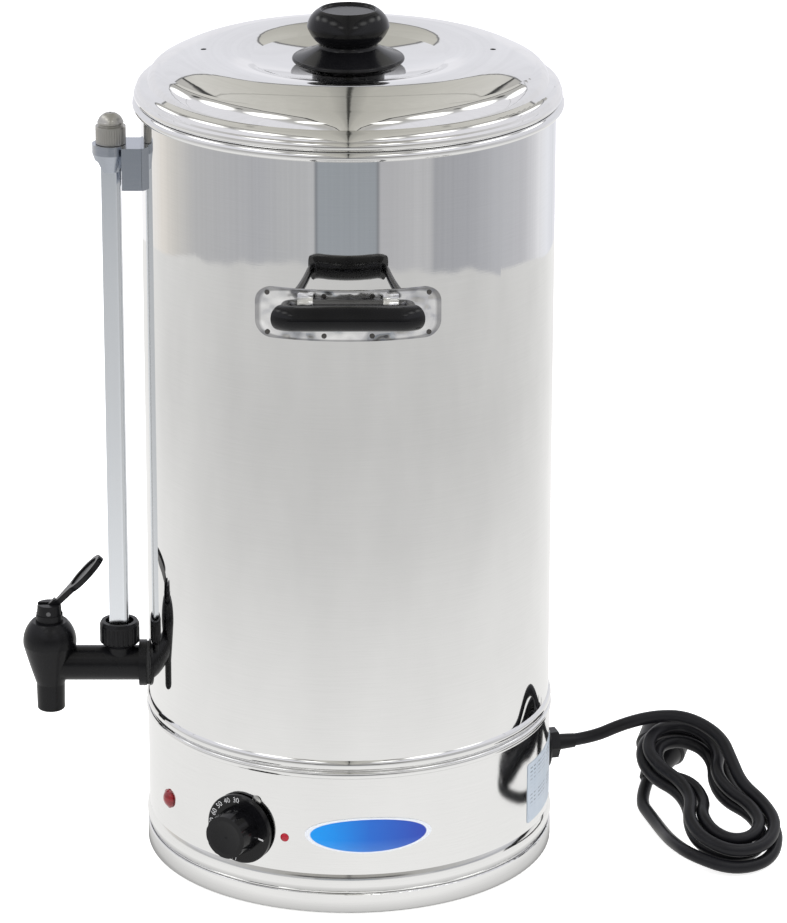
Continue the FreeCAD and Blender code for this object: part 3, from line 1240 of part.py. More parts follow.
def hank_stations():
    """Points and directions along the loops, eight to a loop, in the hank's own frame."""
    straight = hank_half_length - hank_half_width
    steps_in = int(hank_turns_in * 8)
    steps = int((hank_turns_in + hank_turns_out) * 8)
    stations = []
    for k in range(steps + 1):
        turns = k / 8.0
        inset = turns if k <= steps_in else 2 * hank_turns_in - turns
        wide = hank_half_width - hank_step * inset
        waist = hank_waist - hank_waist_step * inset
        tip = hank_half_length - hank_step * inset
        layer = min(max((steps_in + 1 - k) / 2.0, 0.0), 1.0)
        spots = (
            (0, waist, 1, 0), (straight, wide, 1, 0), (tip, 0, 0, -1), (straight, -wide, -1, 0),
            (0, -waist, -1, 0), (-straight, -wide, -1, 0), (-tip, 0, 0, 1), (-straight, wide, 1, 0))
        x, y, dx, dy = spots[k % 8]
        height = hank_layer * layer
        way = Vector(dx, dy, 0)
        if k == 0:
            height += hank_entry_rise
            way = Vector(1, 0, -hank_entry_slope).normalize()
        stations.append((Vector(x, y, height), way))
    return stations


def hank_route():
    """Edges of the hank's centre line, from the free stretch to the plug."""
    place = hank_place()
    turn = place.Rotation
    stations = [(place.multVec(p), turn.multVec(d)) for p, d in hank_stations()]
    edges = []
    lead = 2 * cord_radius
    first, way = stations[0]
    edges.append(Part.LineSegment(first - way * lead, first).toShape())
    for (p, d), (q, e) in zip(stations, stations[1:]):
        edges.extend(biarc(p, d, q, e))
    low = beyond_tank(hank_floor)
    low_way = Vector(*hank_floor_heading).normalize()
    aim = Vector(*plug_heading).normalize()
    goal = beyond_tank(hank_tail) - aim * lead
    edges.extend(biarc(*stations[-1], low, low_way))
    edges.extend(biarc(low, low_way, goal, aim))
    edges.append(Part.LineSegment(goal, beyond_tank(hank_tail)).toShape())
    return edges, first - way * lead, way


def least_gap(edges, radius):
    """Smallest space between parts of a tube that aren't neighbours along it."""
    points = []
    run = 0.0
    for edge in edges:
        count = max(int(edge.Length / 3.0), 1)
        for k in range(count):
            at = edge.getParameterByLength(edge.Length * k / count)
            points.append((edge.valueAt(at), run + edge.Length * k / count))
        run += edge.Length
    least = 1e9
    for i, (p, s) in enumerate(points):
        for q, t in points[i + 1:]:
            if t - s > 12 * radius:
                least = min(least, (p - q).Length)
    return least - 2 * radius


def gland():
    """Cable gland in the base shell; gives the place and the way of the cord's exit."""
    place = (gland_azimuth, base_outer + 0.02, gland_height)
    front = gland_flange_thick
    nut_end = front + gland_nut_thick
    bore = Part.makeCylinder(cord_radius + cord_bore_gap, 60, Vector(0, 0, -30))
    flange = Part.makeCylinder(gland_flange_radius, front)
    flange = flange.makeChamfer(1.2, [e for e in flange.Edges if e.BoundBox.ZMin > front - 0.01])
    thread = Part.makeCylinder(gland_thread_radius, gland_inner_length, Vector(0, 0, -gland_inner_length))
    nut_seat = math.sqrt(base_inner ** 2 - gland_locknut_radius ** 2) - base_outer
    locknut = Part.makeCylinder(gland_locknut_radius, gland_locknut_thick,
                                Vector(0, 0, nut_seat - gland_locknut_thick))
    locknut = locknut.cut(Part.makeCylinder(gland_thread_radius + bore_gap, 60, Vector(0, 0, -30)))
    body = flange.fuse(thread).removeSplitter().cut(bore)
    save("cord_gland", on_wall(body, *place), on_wall(locknut, *place))
    nut = prism(gland_nut_flats, (0, 0, front), gland_nut_thick, (0, 0, 1))
    boot = Part.makeCone(boot_radius, boot_tip_radius, boot_length, Vector(0, 0, nut_end))
    save("gland_nut", on_wall(nut.fuse(boot).removeSplitter().cut(bore), *place))

    frame = wall_frame(*place)
    start = frame.multVec(Vector(0, 0, nut_end))
    block = wall_frame(block_azimuth, block_radius + block_depth / 2, plate_top + block_entry)
    down = frame.multVec(Vector(0, 0, cord_drop - place[1]))
    entry = block.multVec(Vector(0, 0, 0))
    turn = block.multVec(Vector(0, 0, cord_drop - block_radius - block_depth / 2))
    path = rounded_path([start, down, turn, entry], [cord_inside_bend, cord_inside_bend])
    save("cord_inside", sweep(path, cord_radius))
    return start, frame.Rotation.multVec(Vector(0, 0, 1))


def cord_points(start, way, end, end_way):
    """The free stretch: out of the gland, over a low arch and down to the hank."""
    middle = [Vector(tank_radius + x, y, gland_height + z) for x, y, z in cord_arch]
    return [start, start + way * cord_lead] + middle + [end - end_way * cord_lead_in, end]


def cord():
    start, way = gland()
    edges, hank_start, hank_way = hank_route()
    points = cord_points(start, way, hank_start, hank_way)
    runs = [(q - p).Length for p, q in zip(points, points[1:])]
    radii = []
    for k in range(1, len(points) - 1):
        turn = (points[k] - points[k - 1]).getAngle(points[k + 1] - points[k])
        radii.append(0.45 * min(runs[k - 1], runs[k]) / math.tan(turn / 2))
    path = rounded_path(points, radii)
    free = sweep(path, cord_radius)
    section = math.pi * cord_radius ** 2
    print("cord runs", [round(r, 1) for r in runs], "radii", [round(r, 1) for r in radii])
    print("cord volume ratio", round(free.Volume / (section * path.Length), 5), "length", round(path.Length, 1))
    save("power_cord", free)
    hank_wire = Part.Wire(edges)
    hank = sweep(hank_wire, cord_radius)
    arcs = [e.Curve.Radius for e in edges if hasattr(e.Curve, "Radius")]
    print("hank length", round(hank_wire.Length, 1), "tightest arc", round(min(arcs), 1),
          "least gap", round(least_gap(edges, cord_radius), 2),
          "volume ratio", round(hank.Volume / (section * hank_wire.Length), 5),
          "lowest", round(min(e.BoundBox.ZMin for e in edges) - cord_radius, 2))
    save("cord_hank", hank)
    plug()


def plug():
    """Round two-pin plug, modelled with its cord entry at the origin and the pins along +Z."""
    body = cone(plug_neck_radius, plug_neck_radius + 1.4, (0, 0, 0), (0, 0, plug_neck_length))
    face_low = plug_length - plug_face_thick
    body = body.fuse(cone(plug_neck_radius + 3.0, plug_face_radius - 2.0, (0, 0, plug_neck_length), (0, 0, face_low)))
    face = Part.makeCylinder(plug_face_radius, plug_face_thick, Vector(0, 0, face_low))
    face = face.makeChamfer(1.5, [e for e in face.Edges if e.BoundBox.ZLength < 0.01])
    body = body.fuse(face).removeSplitter()
    for side in (-1, 1):
        edge = side * plug_face_radius
        inner = side * (plug_face_radius - plug_key_depth)
        y0, y1 = sorted((edge * 1.2, inner))
        body = body.cut(box(-plug_key_width / 2, plug_key_width / 2, y0, y1, face_low - 1, plug_length + 1))
    pins = []
    for side in (-1, 1):
        x = side * pin_pitch / 2
        pin = rod(pin_radius, (x, 0, plug_length), (x, 0, plug_length + pin_length - pin_radius))
        pin = pin.fuse(Part.makeSphere(pin_radius, Vector(x, 0, plug_length + pin_length - pin_radius)))
        pins.append(pin.removeSplitter())
    aim = Vector(*plug_heading).normalize()
    side = Vector(0, 0, 1).cross(aim).normalize()
    up = aim.cross(side)
    at = beyond_tank(hank_tail)
    place = FreeCAD.Placement(FreeCAD.Matrix(side.x, up.x, aim.x, at.x,
                                             side.y, up.y, aim.y, at.y,
                                             side.z, up.z, aim.z, at.z,
                                             0, 0, 0, 1))
    for solid in [body] + pins:
        solid.Placement = place
    save("power_plug", body)
    save("plug_pins", *pins)
    print("plug lowest", round(body.BoundBox.ZMin, 2))


def main():
    tank()
    lid()
    base()
    element()
    controls()
    inside()
    tap()
    sight_glass()
    save("handle_welds", *(handle("front", 0) + handle("back", 180)))
    cord()
    os.makedirs("parts", exist_ok=True)
    for name, shape in pieces.items():
        if not shape.isValid():
            print("not valid:", name)
        print(name, len(shape.Solids), round(shape.Volume, 1))
        shape.exportStep("parts/" + name + ".step")
    print(len(pieces), "nodes")


main()
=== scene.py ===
import bpy
import math
from mathutils import Matrix, Vector


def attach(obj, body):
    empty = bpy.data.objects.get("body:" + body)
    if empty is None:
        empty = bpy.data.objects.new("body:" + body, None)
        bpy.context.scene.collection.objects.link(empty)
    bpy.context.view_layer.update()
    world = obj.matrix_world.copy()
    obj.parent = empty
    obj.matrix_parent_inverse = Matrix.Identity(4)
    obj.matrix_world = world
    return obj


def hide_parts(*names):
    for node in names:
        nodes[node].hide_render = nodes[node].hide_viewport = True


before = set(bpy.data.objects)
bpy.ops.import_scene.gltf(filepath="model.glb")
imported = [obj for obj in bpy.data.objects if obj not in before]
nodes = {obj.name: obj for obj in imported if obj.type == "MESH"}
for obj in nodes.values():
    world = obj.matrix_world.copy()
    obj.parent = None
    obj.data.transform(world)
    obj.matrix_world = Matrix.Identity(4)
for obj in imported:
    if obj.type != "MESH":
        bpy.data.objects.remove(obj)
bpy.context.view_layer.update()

scene = bpy.context.scene


# Camera, fitted to the photo

CAMERA_PLACE = (0.007335, -3.0730, 1.35508)
FOCAL_LENGTH = 183.85

right = Vector((0.99997, -0.00694, 0.00207)).normalized()
ahead = Vector((0.00723, 0.94367, -0.33080)).normalized()
up = right.cross(ahead).normalized()
cam_data = bpy.data.cameras.new("camera")
cam_data.lens = FOCAL_LENGTH
cam_data.sensor_width = 36.0
cam_data.clip_end = 60.0
cam = bpy.data.objects.new("camera", cam_data)
scene.collection.objects.link(cam)
turn = Matrix((right, up, -ahead)).transposed().to_4x4()
cam.matrix_world = Matrix.Translation(CAMERA_PLACE) @ turn
scene.camera = cam


# Mains cord: the free stretch, the hank and the tail to the plug, as one line of control points

CORD_RADIUS = 0.0045
GLAND_AZIMUTH = 105.0
NUT_FACE_RADIUS = 0.15337
GLAND_HEIGHT = 0.0515
FIRST_RUN = 0.025
LAST_RUN = 0.022
ARCH = ((0.197, 0.046, 0.0635), (0.221, 0.041, 0.0715), (0.243, 0.035, 0.0725))


def wall_point(azimuth, radius, height):
    """A point round the urn, by degrees from the front towards +X."""
    a = math.radians(azimuth)
    return Vector((radius * math.sin(a), -radius * math.cos(a), height))


def hank_points():
    """Control points of the loops, two between neighbouring stations, worked out in millimetres."""
    cord_half = 4.5
    half_length, half_width, waist = 76.0, 37.0, 26.0
    step, waist_step, layer_step = 12.0, 12.6, 9.9
    turns_in, turns_out = 1.5, 1.875
    tilt = math.radians(17.5)
    heading = math.radians(-64.9)
    reach = half_length + step * (turns_out - turns_in)
    rise = (reach + cord_half) * math.sin(tilt) + cord_half
    place = Matrix.Translation((258.0, -7.0, rise)) @ Matrix.Rotation(heading, 4, "Z")
    place = place @ Matrix.Rotation(tilt, 4, "Y")
    squeeze, near_side = 0.88, Vector((205.0, 0.0, 0.0))
    towards = Matrix.Translation(near_side) @ Matrix.Diagonal((squeeze, 1.0, 1.0, 1.0))
    place = towards @ Matrix.Translation(-near_side) @ place
    straight = half_length - half_width
    steps_in = int(turns_in * 8)
    stations = []
    for k in range(int((turns_in + turns_out) * 8) + 1):
        turns = k / 8.0
        inset = turns if k <= steps_in else 2 * turns_in - turns
        wide = half_width - step * inset
        middle = waist - waist_step * inset
        tip = half_length - step * inset
        layer = min(max((steps_in + 1 - k) / 2.0, 0.0), 1.0)
        spots = ((0, middle, 1, 0), (straight, wide, 1, 0), (tip, 0, 0, -1), (straight, -wide, -1, 0),
                 (0, -middle, -1, 0), (-straight, -wide, -1, 0), (-tip, 0, 0, 1), (-straight, wide, 1, 0))
        x, y, dx, dy = spots[k % 8]
        height, way = layer_step * layer, Vector((dx, dy, 0))
        if k == 0:
            height, way = height + 6.0, Vector((1, 0, -0.3)).normalized()
        stations.append((place @ Vector((x, y, height)), (place.to_3x3() @ way).normalized()))
    last, last_way = stations.pop()
    sag = Vector((0.0, 0.0, 6.5))
    stations.append((last - sag, Vector((last_way.x, last_way.y, -0.08)).normalized()))
    floor_way = Vector((-0.24, 0.97, 0.0)).normalized()
    aim = Vector((0.34, 0.81, 0.46)).normalized()
    tail = Vector((215.0, 50.0, 18.5))
    stations.append((Vector((218.0, -2.0, 6.4)), floor_way))
    stations.append((tail - aim * 2 * cord_half, aim))
    points = [stations[0][0] - stations[0][1] * 2 * cord_half]
    for (p, d), (q, e) in zip(stations, stations[1:]):
        gap = q - p
        flat = 2 * (1 - d.dot(e))
        along = gap.dot(d + e)
        if flat < 1e-9:
            span = gap.dot(gap) / (4 * gap.dot(e))
        else:
            span = (-along + math.sqrt(along ** 2 + flat * gap.dot(gap))) / flat
        points += [p + d * span, q - e * span]
    points.append(tail)
    return [p * 0.001 for p in points]


exit_point = wall_point(GLAND_AZIMUTH, NUT_FACE_RADIUS, GLAND_HEIGHT)
exit_way = wall_point(GLAND_AZIMUTH, 1.0, 0.0)
loops = hank_points()
lead_way = (loops[1] - loops[0]).normalized()
line = [exit_point, exit_point + exit_way * FIRST_RUN]
line += [Vector(p) for p in ARCH]
line += [loops[0] - lead_way * LAST_RUN] + loops
curve = bpy.data.curves.new("mains_cord", "CURVE")
curve.dimensions = "3D"
curve.bevel_depth = 1.0
curve.bevel_resolution = 6
curve.use_fill_caps = True
curve.resolution_u = 10
spline = curve.splines.new("NURBS")
spline.points.add(len(line) - 1)
for spot, p in zip(spline.points, line):
    spot.co = (*p, 1.0)
    spot.radius = CORD_RADIUS
spline.order_u = 3
spline.use_endpoint_u = True
cord = bpy.data.objects.new("mains_cord", curve)
scene.collection.objects.link(cord)
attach(cord, "urn")
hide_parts("power_cord", "cord_hank")


# Materials: each is a small graph of textures on one Principled shader

class Graph:
    def __init__(self, name):
        self.material = bpy.data.materials.new(name)
        self.material.use_nodes = True
        self.tree = self.material.node_tree
        self.tree.nodes.clear()
        self.out = self.tree.nodes.new("ShaderNodeOutputMaterial")
        self.shader = self.add("ShaderNodeBsdfPrincipled")
        self.link(self.shader.outputs[0], self.out.inputs["Surface"])
        self.coord = self.add("ShaderNodeTexCoord").outputs["Object"]

    def add(self, kind, **values):
        node = self.tree.nodes.new(kind)
        for key, value in values.items():
            if hasattr(node, key):
                setattr(node, key, value)
            else:
                node.inputs[key.replace("_", " ")].default_value = value
        return node

    def link(self, a, b):
        self.tree.links.new(a, b)

    def scaled(self, x, y, z):
        node = self.add("ShaderNodeMapping")
        node.inputs["Scale"].default_value = (x, y, z)
        self.link(self.coord, node.inputs["Vector"])
        return node.outputs["Vector"]

    def noise(self, vector, scale, detail=3.0, rough=0.55):
        node = self.add("ShaderNodeTexNoise", Scale=scale, Detail=detail, Roughness=rough)
        self.link(vector, node.inputs["Vector"])
        return node.outputs["Fac"]

    def ramp(self, fac, stops, mode="LINEAR"):
        node = self.add("ShaderNodeValToRGB")
        node.color_ramp.interpolation = mode
        while len(node.color_ramp.elements) < len(stops):
            node.color_ramp.elements.new(0.5)
        for element, (at, color) in zip(node.color_ramp.elements, stops):
            element.position = at
            element.color = (*color, 1.0) if len(color) == 3 else color
        self.link(fac, node.inputs["Fac"])
        return node.outputs["Color"]

    def span(self, fac, low, high, out_low, out_high):
        node = self.add("ShaderNodeMapRange")
        for key, value in (("From Min", low), ("From Max", high), ("To Min", out_low), ("To Max", out_high)):
            node.inputs[key].default_value = value
        self.link(fac, node.inputs["Value"])
        return node.outputs["Result"]

    def bump(self, height, strength, distance, after=None):
        node = self.add("ShaderNodeBump", Strength=strength, Distance=distance)
        self.link(height, node.inputs["Height"])
        if after is not None:
            self.link(after, node.inputs["Normal"])
        return node.outputs["Normal"]

    def math(self, operation, a, b=0.0):
        node = self.add("ShaderNodeMath", operation=operation)
        for k, value in enumerate((a, b)):
            if isinstance(value, float):
                node.inputs[k].default_value = value
            else:
                self.link(value, node.inputs[k])
        return node.outputs[0]

    def far(self, a, b):
        """Distance from the origin of two coordinates."""
        return self.math("SQRT", self.math("ADD", self.math("MULTIPLY", a, a), self.math("MULTIPLY", b, b)))

    def mix(self, fac, under, over, mode="MIX"):
        node = self.add("ShaderNodeMixRGB", blend_type=mode)
        self.link(fac, node.inputs[0])
        for value, socket in ((under, node.inputs[1]), (over, node.inputs[2])):
            if isinstance(value, tuple):
                socket.default_value = (*value, 1.0)
            else:
                self.link(value, socket)
        return node.outputs[0]

    def azimuth(self):
        """Angle round the urn, 0 straight in front, and the separated coordinates."""
        split = self.add("ShaderNodeSeparateXYZ")
        self.link(self.coord, split.inputs[0])
        axes = split.outputs
        return self.math("ARCTAN2", axes["X"], self.math("MULTIPLY", axes["Y"], -1.0)), axes

    def set(self, **sockets):
        for key, value in sockets.items():
            socket = self.shader.inputs[key.replace("_", " ")]
            if hasattr(value, "is_linked"):
                self.link(value, socket)
            else:
                socket.default_value = value
        return self.material


def steel(name, tint, rough, grain, wave, brushed=(1.0, 1.0, 60.0), spread=0.03):
    """Sheet metal: rolled grain, a faint unevenness of the sheet and small smears."""
    g = Graph(name)
    fine = g.noise(g.scaled(*brushed), 30.0, 4.0, 0.7)
    smear = g.noise(g.scaled(1.0, 1.0, 0.5), 9.0, 4.0, 0.6)
    color = g.ramp(g.span(g.math("ADD", fine, smear), 0.7, 1.3, 0.0, 1.0),
                   [(0.0, [c - spread for c in tint]), (1.0, [c + spread * 0.6 for c in tint])])
    worn = g.math("ADD", g.math("MULTIPLY", fine, 0.4), smear)
    roughness = g.span(worn, 0.4, 1.0, rough * 0.75, rough * 1.35)
    sheet = g.noise(g.scaled(1.0, 1.0, 0.35), 6.0, 2.0, 0.4)
    normal = g.bump(sheet, wave, 0.004)
    normal = g.bump(fine, grain, 0.0002, normal)
    return g.set(Base_Color=color, Metallic=1.0, Roughness=roughness, Normal=normal)


def plastic(name, color, rough, grain=0.08, scale=260.0, spread=0.35, shine=0.5):
    """Moulded plastic, rubber or paint: a faint cloudiness and a fine grain."""
    g = Graph(name)
    wide = g.noise(g.scaled(1.0, 1.0, 1.0), 22.0, 3.0)
    fine = g.noise(g.scaled(1.0, 1.0, 1.0), scale, 2.0)
    tint = g.ramp(wide, [(0.3, [c * (1 - spread) for c in color]),
                         (0.7, [min(c * (1 + spread), 1.0) for c in color])])
    roughness = g.span(wide, 0.3, 0.7, rough * 0.85, rough * 1.2)
    return g.set(Base_Color=tint, Roughness=roughness, Normal=g.bump(fine, grain, 0.0003),
                 Specular_IOR_Level=shine)


stainless = steel("stainless", (0.83, 0.83, 0.825), 0.020, 0.006, 0.05)
stainless_lid = steel("stainless_lid", (0.86, 0.855, 0.84), 0.03, 0.02, 0.03, (1.0, 1.0, 1.0))
stainless_base = steel("stainless_base", (0.85, 0.85, 0.845), 0.075, 0.05, 0.05)
# The bail's steel is coloured dark: painted shade for the dark things its wire mirrors.
bail_steel = steel("bail_steel", (0.16, 0.16, 0.165), 0.25, 0.10, 0.02, (3.0, 3.0, 3.0))
plated = steel("plated", (0.62, 0.62, 0.60), 0.30, 0.2, 0.05, (4.0, 4.0, 4.0))
bracket_steel = steel("bracket_steel", (0.46, 0.49, 0.54), 0.20, 0.08, 0.05)
shield_steel = steel("shield_steel", (0.90, 0.93, 0.97), 0.20, 0.02, 0.03)
nickel = steel("nickel", (0.50, 0.49, 0.46), 0.32, 0.25, 0.02, (4.0, 4.0, 4.0))
brass = steel("brass", (0.72, 0.56, 0.28), 0.25, 0.1, 0.02, (4.0, 4.0, 4.0))
weld_steel = steel("weld_steel", (0.13, 0.125, 0.12), 0.35, 0.3, 0.02, (9.0, 9.0, 9.0))
phenolic = plastic("phenolic", (0.006, 0.006, 0.007), 0.16, 0.04, shine=0.26)
satin_black = plastic("satin_black", (0.007, 0.007, 0.008), 0.26, 0.10, 420.0, shine=0.24)
print_white = plastic("print_white", (0.78, 0.78, 0.77), 0.5, 0.05, 300.0, 0.05)
cord_sheath = plastic("cord_sheath", (0.008, 0.008, 0.010), 0.34, 0.10, 500.0, shine=0.26)
foot_rubber = plastic("foot_rubber", (0.03, 0.03, 0.03), 0.7, 0.3)
silicone = plastic("silicone", (0.72, 0.70, 0.66), 0.45, 0.1, 200.0, 0.08)
white_plastic = plastic("white_plastic", (0.72, 0.71, 0.66), 0.45, 0.1, 200.0, 0.06)
wire_sheath = plastic("wire_sheath", (0.45, 0.28, 0.16), 0.5, 0.1, 300.0, 0.2)
dot_red = plastic("dot_red", (0.50, 0.012, 0.03), 0.3, 0.05, 300.0, 0.2)


def glass_material():
    """Clear tube with a faint haze."""
    g = Graph("sight_glass")
    haze = g.noise(g.scaled(1.0, 1.0, 0.3), 40.0, 3.0)
    return g.set(Base_Color=g.ramp(haze, [(0.3, (0.90, 0.94, 0.95)), (0.7, (0.98, 0.99, 1.0))]),
                 Roughness=g.span(haze, 0.3, 0.7, 0.02, 0.06), Transmission_Weight=1.0, IOR=1.47)


def lens_material():
    """Deep red lens of the pilot lamp, unlit."""
    g = Graph("lamp_red")
    facet = g.noise(g.scaled(1.0, 1.0, 1.0), 120.0, 2.0)
    return g.set(Base_Color=g.ramp(facet, [(0.3, (0.20, 0.002, 0.008)), (0.7, (0.36, 0.006, 0.016))]),
                 Roughness=g.span(facet, 0.3, 0.7, 0.10, 0.18), Coat_Weight=0.6,
                 Normal=g.bump(facet, 0.1, 0.0004))


BASE_RADIUS = 0.14185


def greys(g, fac, stops, mode="LINEAR"):
    return g.ramp(fac, [(where, (value, value, value)) for where, value in stops], mode)


def wall_place(g, azimuth, height, half_wide, half_tall):
    """Place on the wall, -1 to 1 over a plate: across it and up it."""
    angle, axes = g.azimuth()
    across = g.math("DIVIDE", g.math("SUBTRACT", angle, math.radians(azimuth)), half_wide / BASE_RADIUS)
    return across, g.math("DIVIDE", g.math("SUBTRACT", axes["Z"], height), half_tall)


def plate_material():
    """Pressed plate of a handle: buckled and bright. Its colour goes light and dark with the dents as painted
    reflections, with a painted shade line round its edge.
    """
    g = Graph("handle_steel")
    across, upward = wall_place(g, 0.0, 0.4275, 0.0627, 0.0171)
    corner = g.math("ADD", g.math("POWER", g.math("ABSOLUTE", across), 7.0),
                    g.math("POWER", g.math("ABSOLUTE", upward), 5.0))
    dent = g.noise(g.scaled(1.0, 1.0, 1.0), 42.0, 2.0, 0.5)
    # Painted reflections: the colour goes light and dark with the same noise that dents the plate.
    painted_dent_light = g.ramp(dent, [(0.34, (0.55, 0.56, 0.58)), (0.43, (0.88, 0.88, 0.89)),
                            (0.60, (0.97, 0.97, 0.97))])
    # Painted shade: a dark line round the plate's edge.
    painted_edge_shade = g.math("MULTIPLY", g.span(corner, 0.62, 0.80, 0.0, 1.0), 0.62)
    color = g.mix(painted_edge_shade, painted_dent_light, (0.22, 0.22, 0.23))
    return g.set(Base_Color=color, Metallic=1.0, Roughness=g.span(dent, 0.3, 0.7, 0.10, 0.22),
                 Normal=g.bump(dent, 0.8, 0.006))


def badge_material():
    """Enamelled oval: bright blue at the left to deep blue at the right, with a painted highlight along its
    lower part and a pale rim.
    """
    g = Graph("badge_enamel")
    across, upward = wall_place(g, 5.6, 0.0584, 0.044, 0.013)
    field = g.ramp(g.span(across, -1.0, 1.0, 0.0, 1.0), [
        (0.0, (0.002, 0.36, 0.97)), (0.22, (0.004, 0.29, 0.86)), (0.5, (0.016, 0.155, 0.64)),
        (1.0, (0.035, 0.062, 0.45))])
    away = g.far(across, upward)
    # Painted highlight: the lower part of the oval is lightened towards pale blue.
    foot = g.math("MULTIPLY", g.span(upward, -0.25, -0.95, 0.0, 1.0), 0.16)
    field = g.mix(foot, field, (0.35, 0.62, 0.95))
    field = g.mix(g.span(away, 0.905, 0.925, 0.0, 1.0), field, (0.90, 0.93, 0.96))
    speck = g.noise(g.scaled(1.0, 1.0, 1.0), 900.0, 2.0)
    return g.set(Base_Color=field, Roughness=g.span(speck, 0.3, 0.7, 0.16, 0.24), Specular_IOR_Level=0.35)


def label_material():
    """Printed foil label: a pale ground and rows of fine grey lines that say nothing."""
    g = Graph("label_foil")
    across, upward = wall_place(g, 75.0, 0.057, 0.034, 0.022)
    rows = g.math("SINE", g.math("MULTIPLY", upward, 48.0))
    breaks = g.noise(g.scaled(1.0, 1.0, 0.02), 420.0, 1.0)
    lines = g.math("MULTIPLY", g.span(rows, 0.2, 0.7, 0.0, 1.0), g.span(breaks, 0.45, 0.55, 0.0, 1.0))
    inside = g.math("MULTIPLY", g.span(g.math("ABSOLUTE", across), 0.90, 0.86, 0.0, 1.0),
                    g.span(g.math("ABSOLUTE", upward), 0.88, 0.84, 0.0, 1.0))
    blocks = greys(g, g.span(upward, -1.0, 1.0, 0.0, 1.0), [
        (0.0, 0.0), (0.20, 0.15), (0.27, 0.75), (0.42, 0.75), (0.46, 0.1), (0.62, 0.1), (0.66, 0.5),
        (0.78, 0.4), (0.82, 0.9), (0.92, 0.9)], "CONSTANT")
    printed = g.math("MULTIPLY", g.math("MULTIPLY", lines, inside), blocks)
    foil = g.noise(g.scaled(1.0, 1.0, 1.0), 60.0)
    ground = g.ramp(foil, [(0.3, (0.60, 0.68, 0.76)), (0.7, (0.66, 0.73, 0.80))])
    return g.set(Base_Color=g.mix(printed, ground, (0.20, 0.24, 0.29)),
                 Roughness=g.span(breaks, 0.3, 0.7, 0.35, 0.45))


finishes = {
    stainless: ("tank_shell", "tank_bottom", "heating_element"),
    stainless_lid: ("lid_shell",),
    stainless_base: ("base_shell", "foot_ring"),
    plate_material(): ("handle_plate_front", "handle_plate_back"),
    bail_steel: ("handle_bail_front", "handle_bail_back", "tap_lever_pin"),
    weld_steel: ("handle_welds",),
    plated: ("bottom_plate", "tie_rod", "tie_nut", "thermostat_bracket", "bracket_screws", "bulb_clip",
             "element_nuts", "thermal_cutout", "thermostat_bulb", "thermostat_shaft", "lid_knob_screw",
             "tap_stem", "tap_spring", "sight_bracket_screws", "plug_pins"),
    shield_steel: ("sight_shield",),
    bracket_steel: ("sight_bracket",),
    nickel: ("sight_cap",),
    brass: ("element_bushings",),
    phenolic: ("lid_knob", "control_knob", "handle_grip_front", "handle_grip_back"),
    satin_black: ("tap_body", "tap_flange", "tap_inner_nut", "tap_bonnet", "tap_lever", "sight_nut",
                  "cord_gland", "gland_nut", "lamp_body"),
    cord_sheath: ("power_plug", "cord_inside"),
    foot_rubber: ("rubber_feet", "tap_seals", "sight_seals"),
    silicone: ("tap_seat_cup",),
    glass_material(): ("sight_tube",),
    lens_material(): ("lamp_lens",),
    dot_red: ("index_dot",),
    white_plastic: ("thermostat_body", "terminal_block"),
    badge_material(): ("badge_plate",),
    label_material(): ("rating_label",),
    wire_sheath: ("internal_wiring",),
}
for material, names in finishes.items():
    for name in names:
        nodes[name].data.materials.clear()
        nodes[name].data.materials.append(material)
cord.data.materials.append(cord_sheath)


# Print on the dial: numerals round the rim and the pointer's dash

DIAL_AZIMUTH = -31.2
DIAL_HEIGHT = 0.0559
DIAL_FACE_RADIUS = 0.14562
NUMERAL_CIRCLE = 0.0212
FIRST_NUMERAL = 94.0
NUMERAL_STEP = 20.5


def dial_point(angle, radius):
    """On the dial's face, with the angle from its right-hand side."""
    turn = math.radians(DIAL_AZIMUTH)
    side = Vector((math.cos(turn), math.sin(turn), 0.0))
    a = math.radians(angle)
    away = side * math.cos(a) + Vector((0, 0, 1)) * math.sin(a)
    return wall_point(DIAL_AZIMUTH, DIAL_FACE_RADIUS, DIAL_HEIGHT) + away * radius


def dial_print(name, verts, faces, angle, radius):
    """Flat shapes drawn with +Y outwards, laid on the dial's face at an angle."""
    side = (dial_point(angle - 90, 1.0) - dial_point(angle + 90, 1.0)).normalized()
    outward = (dial_point(angle, 1.0) - dial_point(angle + 180, 1.0)).normalized()
    centre = dial_point(angle, radius)
    mesh = bpy.data.meshes.new(name)
    mesh.from_pydata([centre + side * x + outward * y for x, y in verts], [], faces)
    mesh.materials.append(print_white)
    obj = bpy.data.objects.new(name, mesh)
    scene.collection.objects.link(obj)
    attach(obj, "dial")


dash = [(-0.0006, -0.0025), (0.0006, -0.0025), (0.0006, 0.0025), (-0.0006, 0.0025)]
dial_print("dial_dash", dash, [(0, 1, 2, 3)], -11.0, 0.0182)
for count in range(9):
    text = bpy.data.curves.new("numeral", "FONT")
    text.body = str(30 + 10 * count)
    text.size = 0.0052
    text.align_x = "CENTER"
    text.align_y = "CENTER"
    text.resolution_u = 3
    writer = bpy.data.objects.new("numeral", text)
    scene.collection.objects.link(writer)
    flat = bpy.data.meshes.new_from_object(writer.evaluated_get(bpy.context.evaluated_depsgraph_get()))
    bpy.data.objects.remove(writer)
    angle = FIRST_NUMERAL + NUMERAL_STEP * count
    dial_print("dial_numeral_%d" % count, [(p.co.x, p.co.y) for p in flat.vertices],
               [tuple(f.vertices) for f in flat.polygons], angle, NUMERAL_CIRCLE)
    bpy.data.meshes.remove(flat)


# Floor, backdrop and the surroundings that the steel reflects

def mesh_object(name, verts, faces, material):
    mesh = bpy.data.meshes.new(name)
    mesh.from_pydata(verts, [], faces)
    mesh.materials.append(material)
    obj = bpy.data.objects.new(name, mesh)
    scene.collection.objects.link(obj)
    return obj


LID_HEIGHT = 0.56
ROOF = 1.9


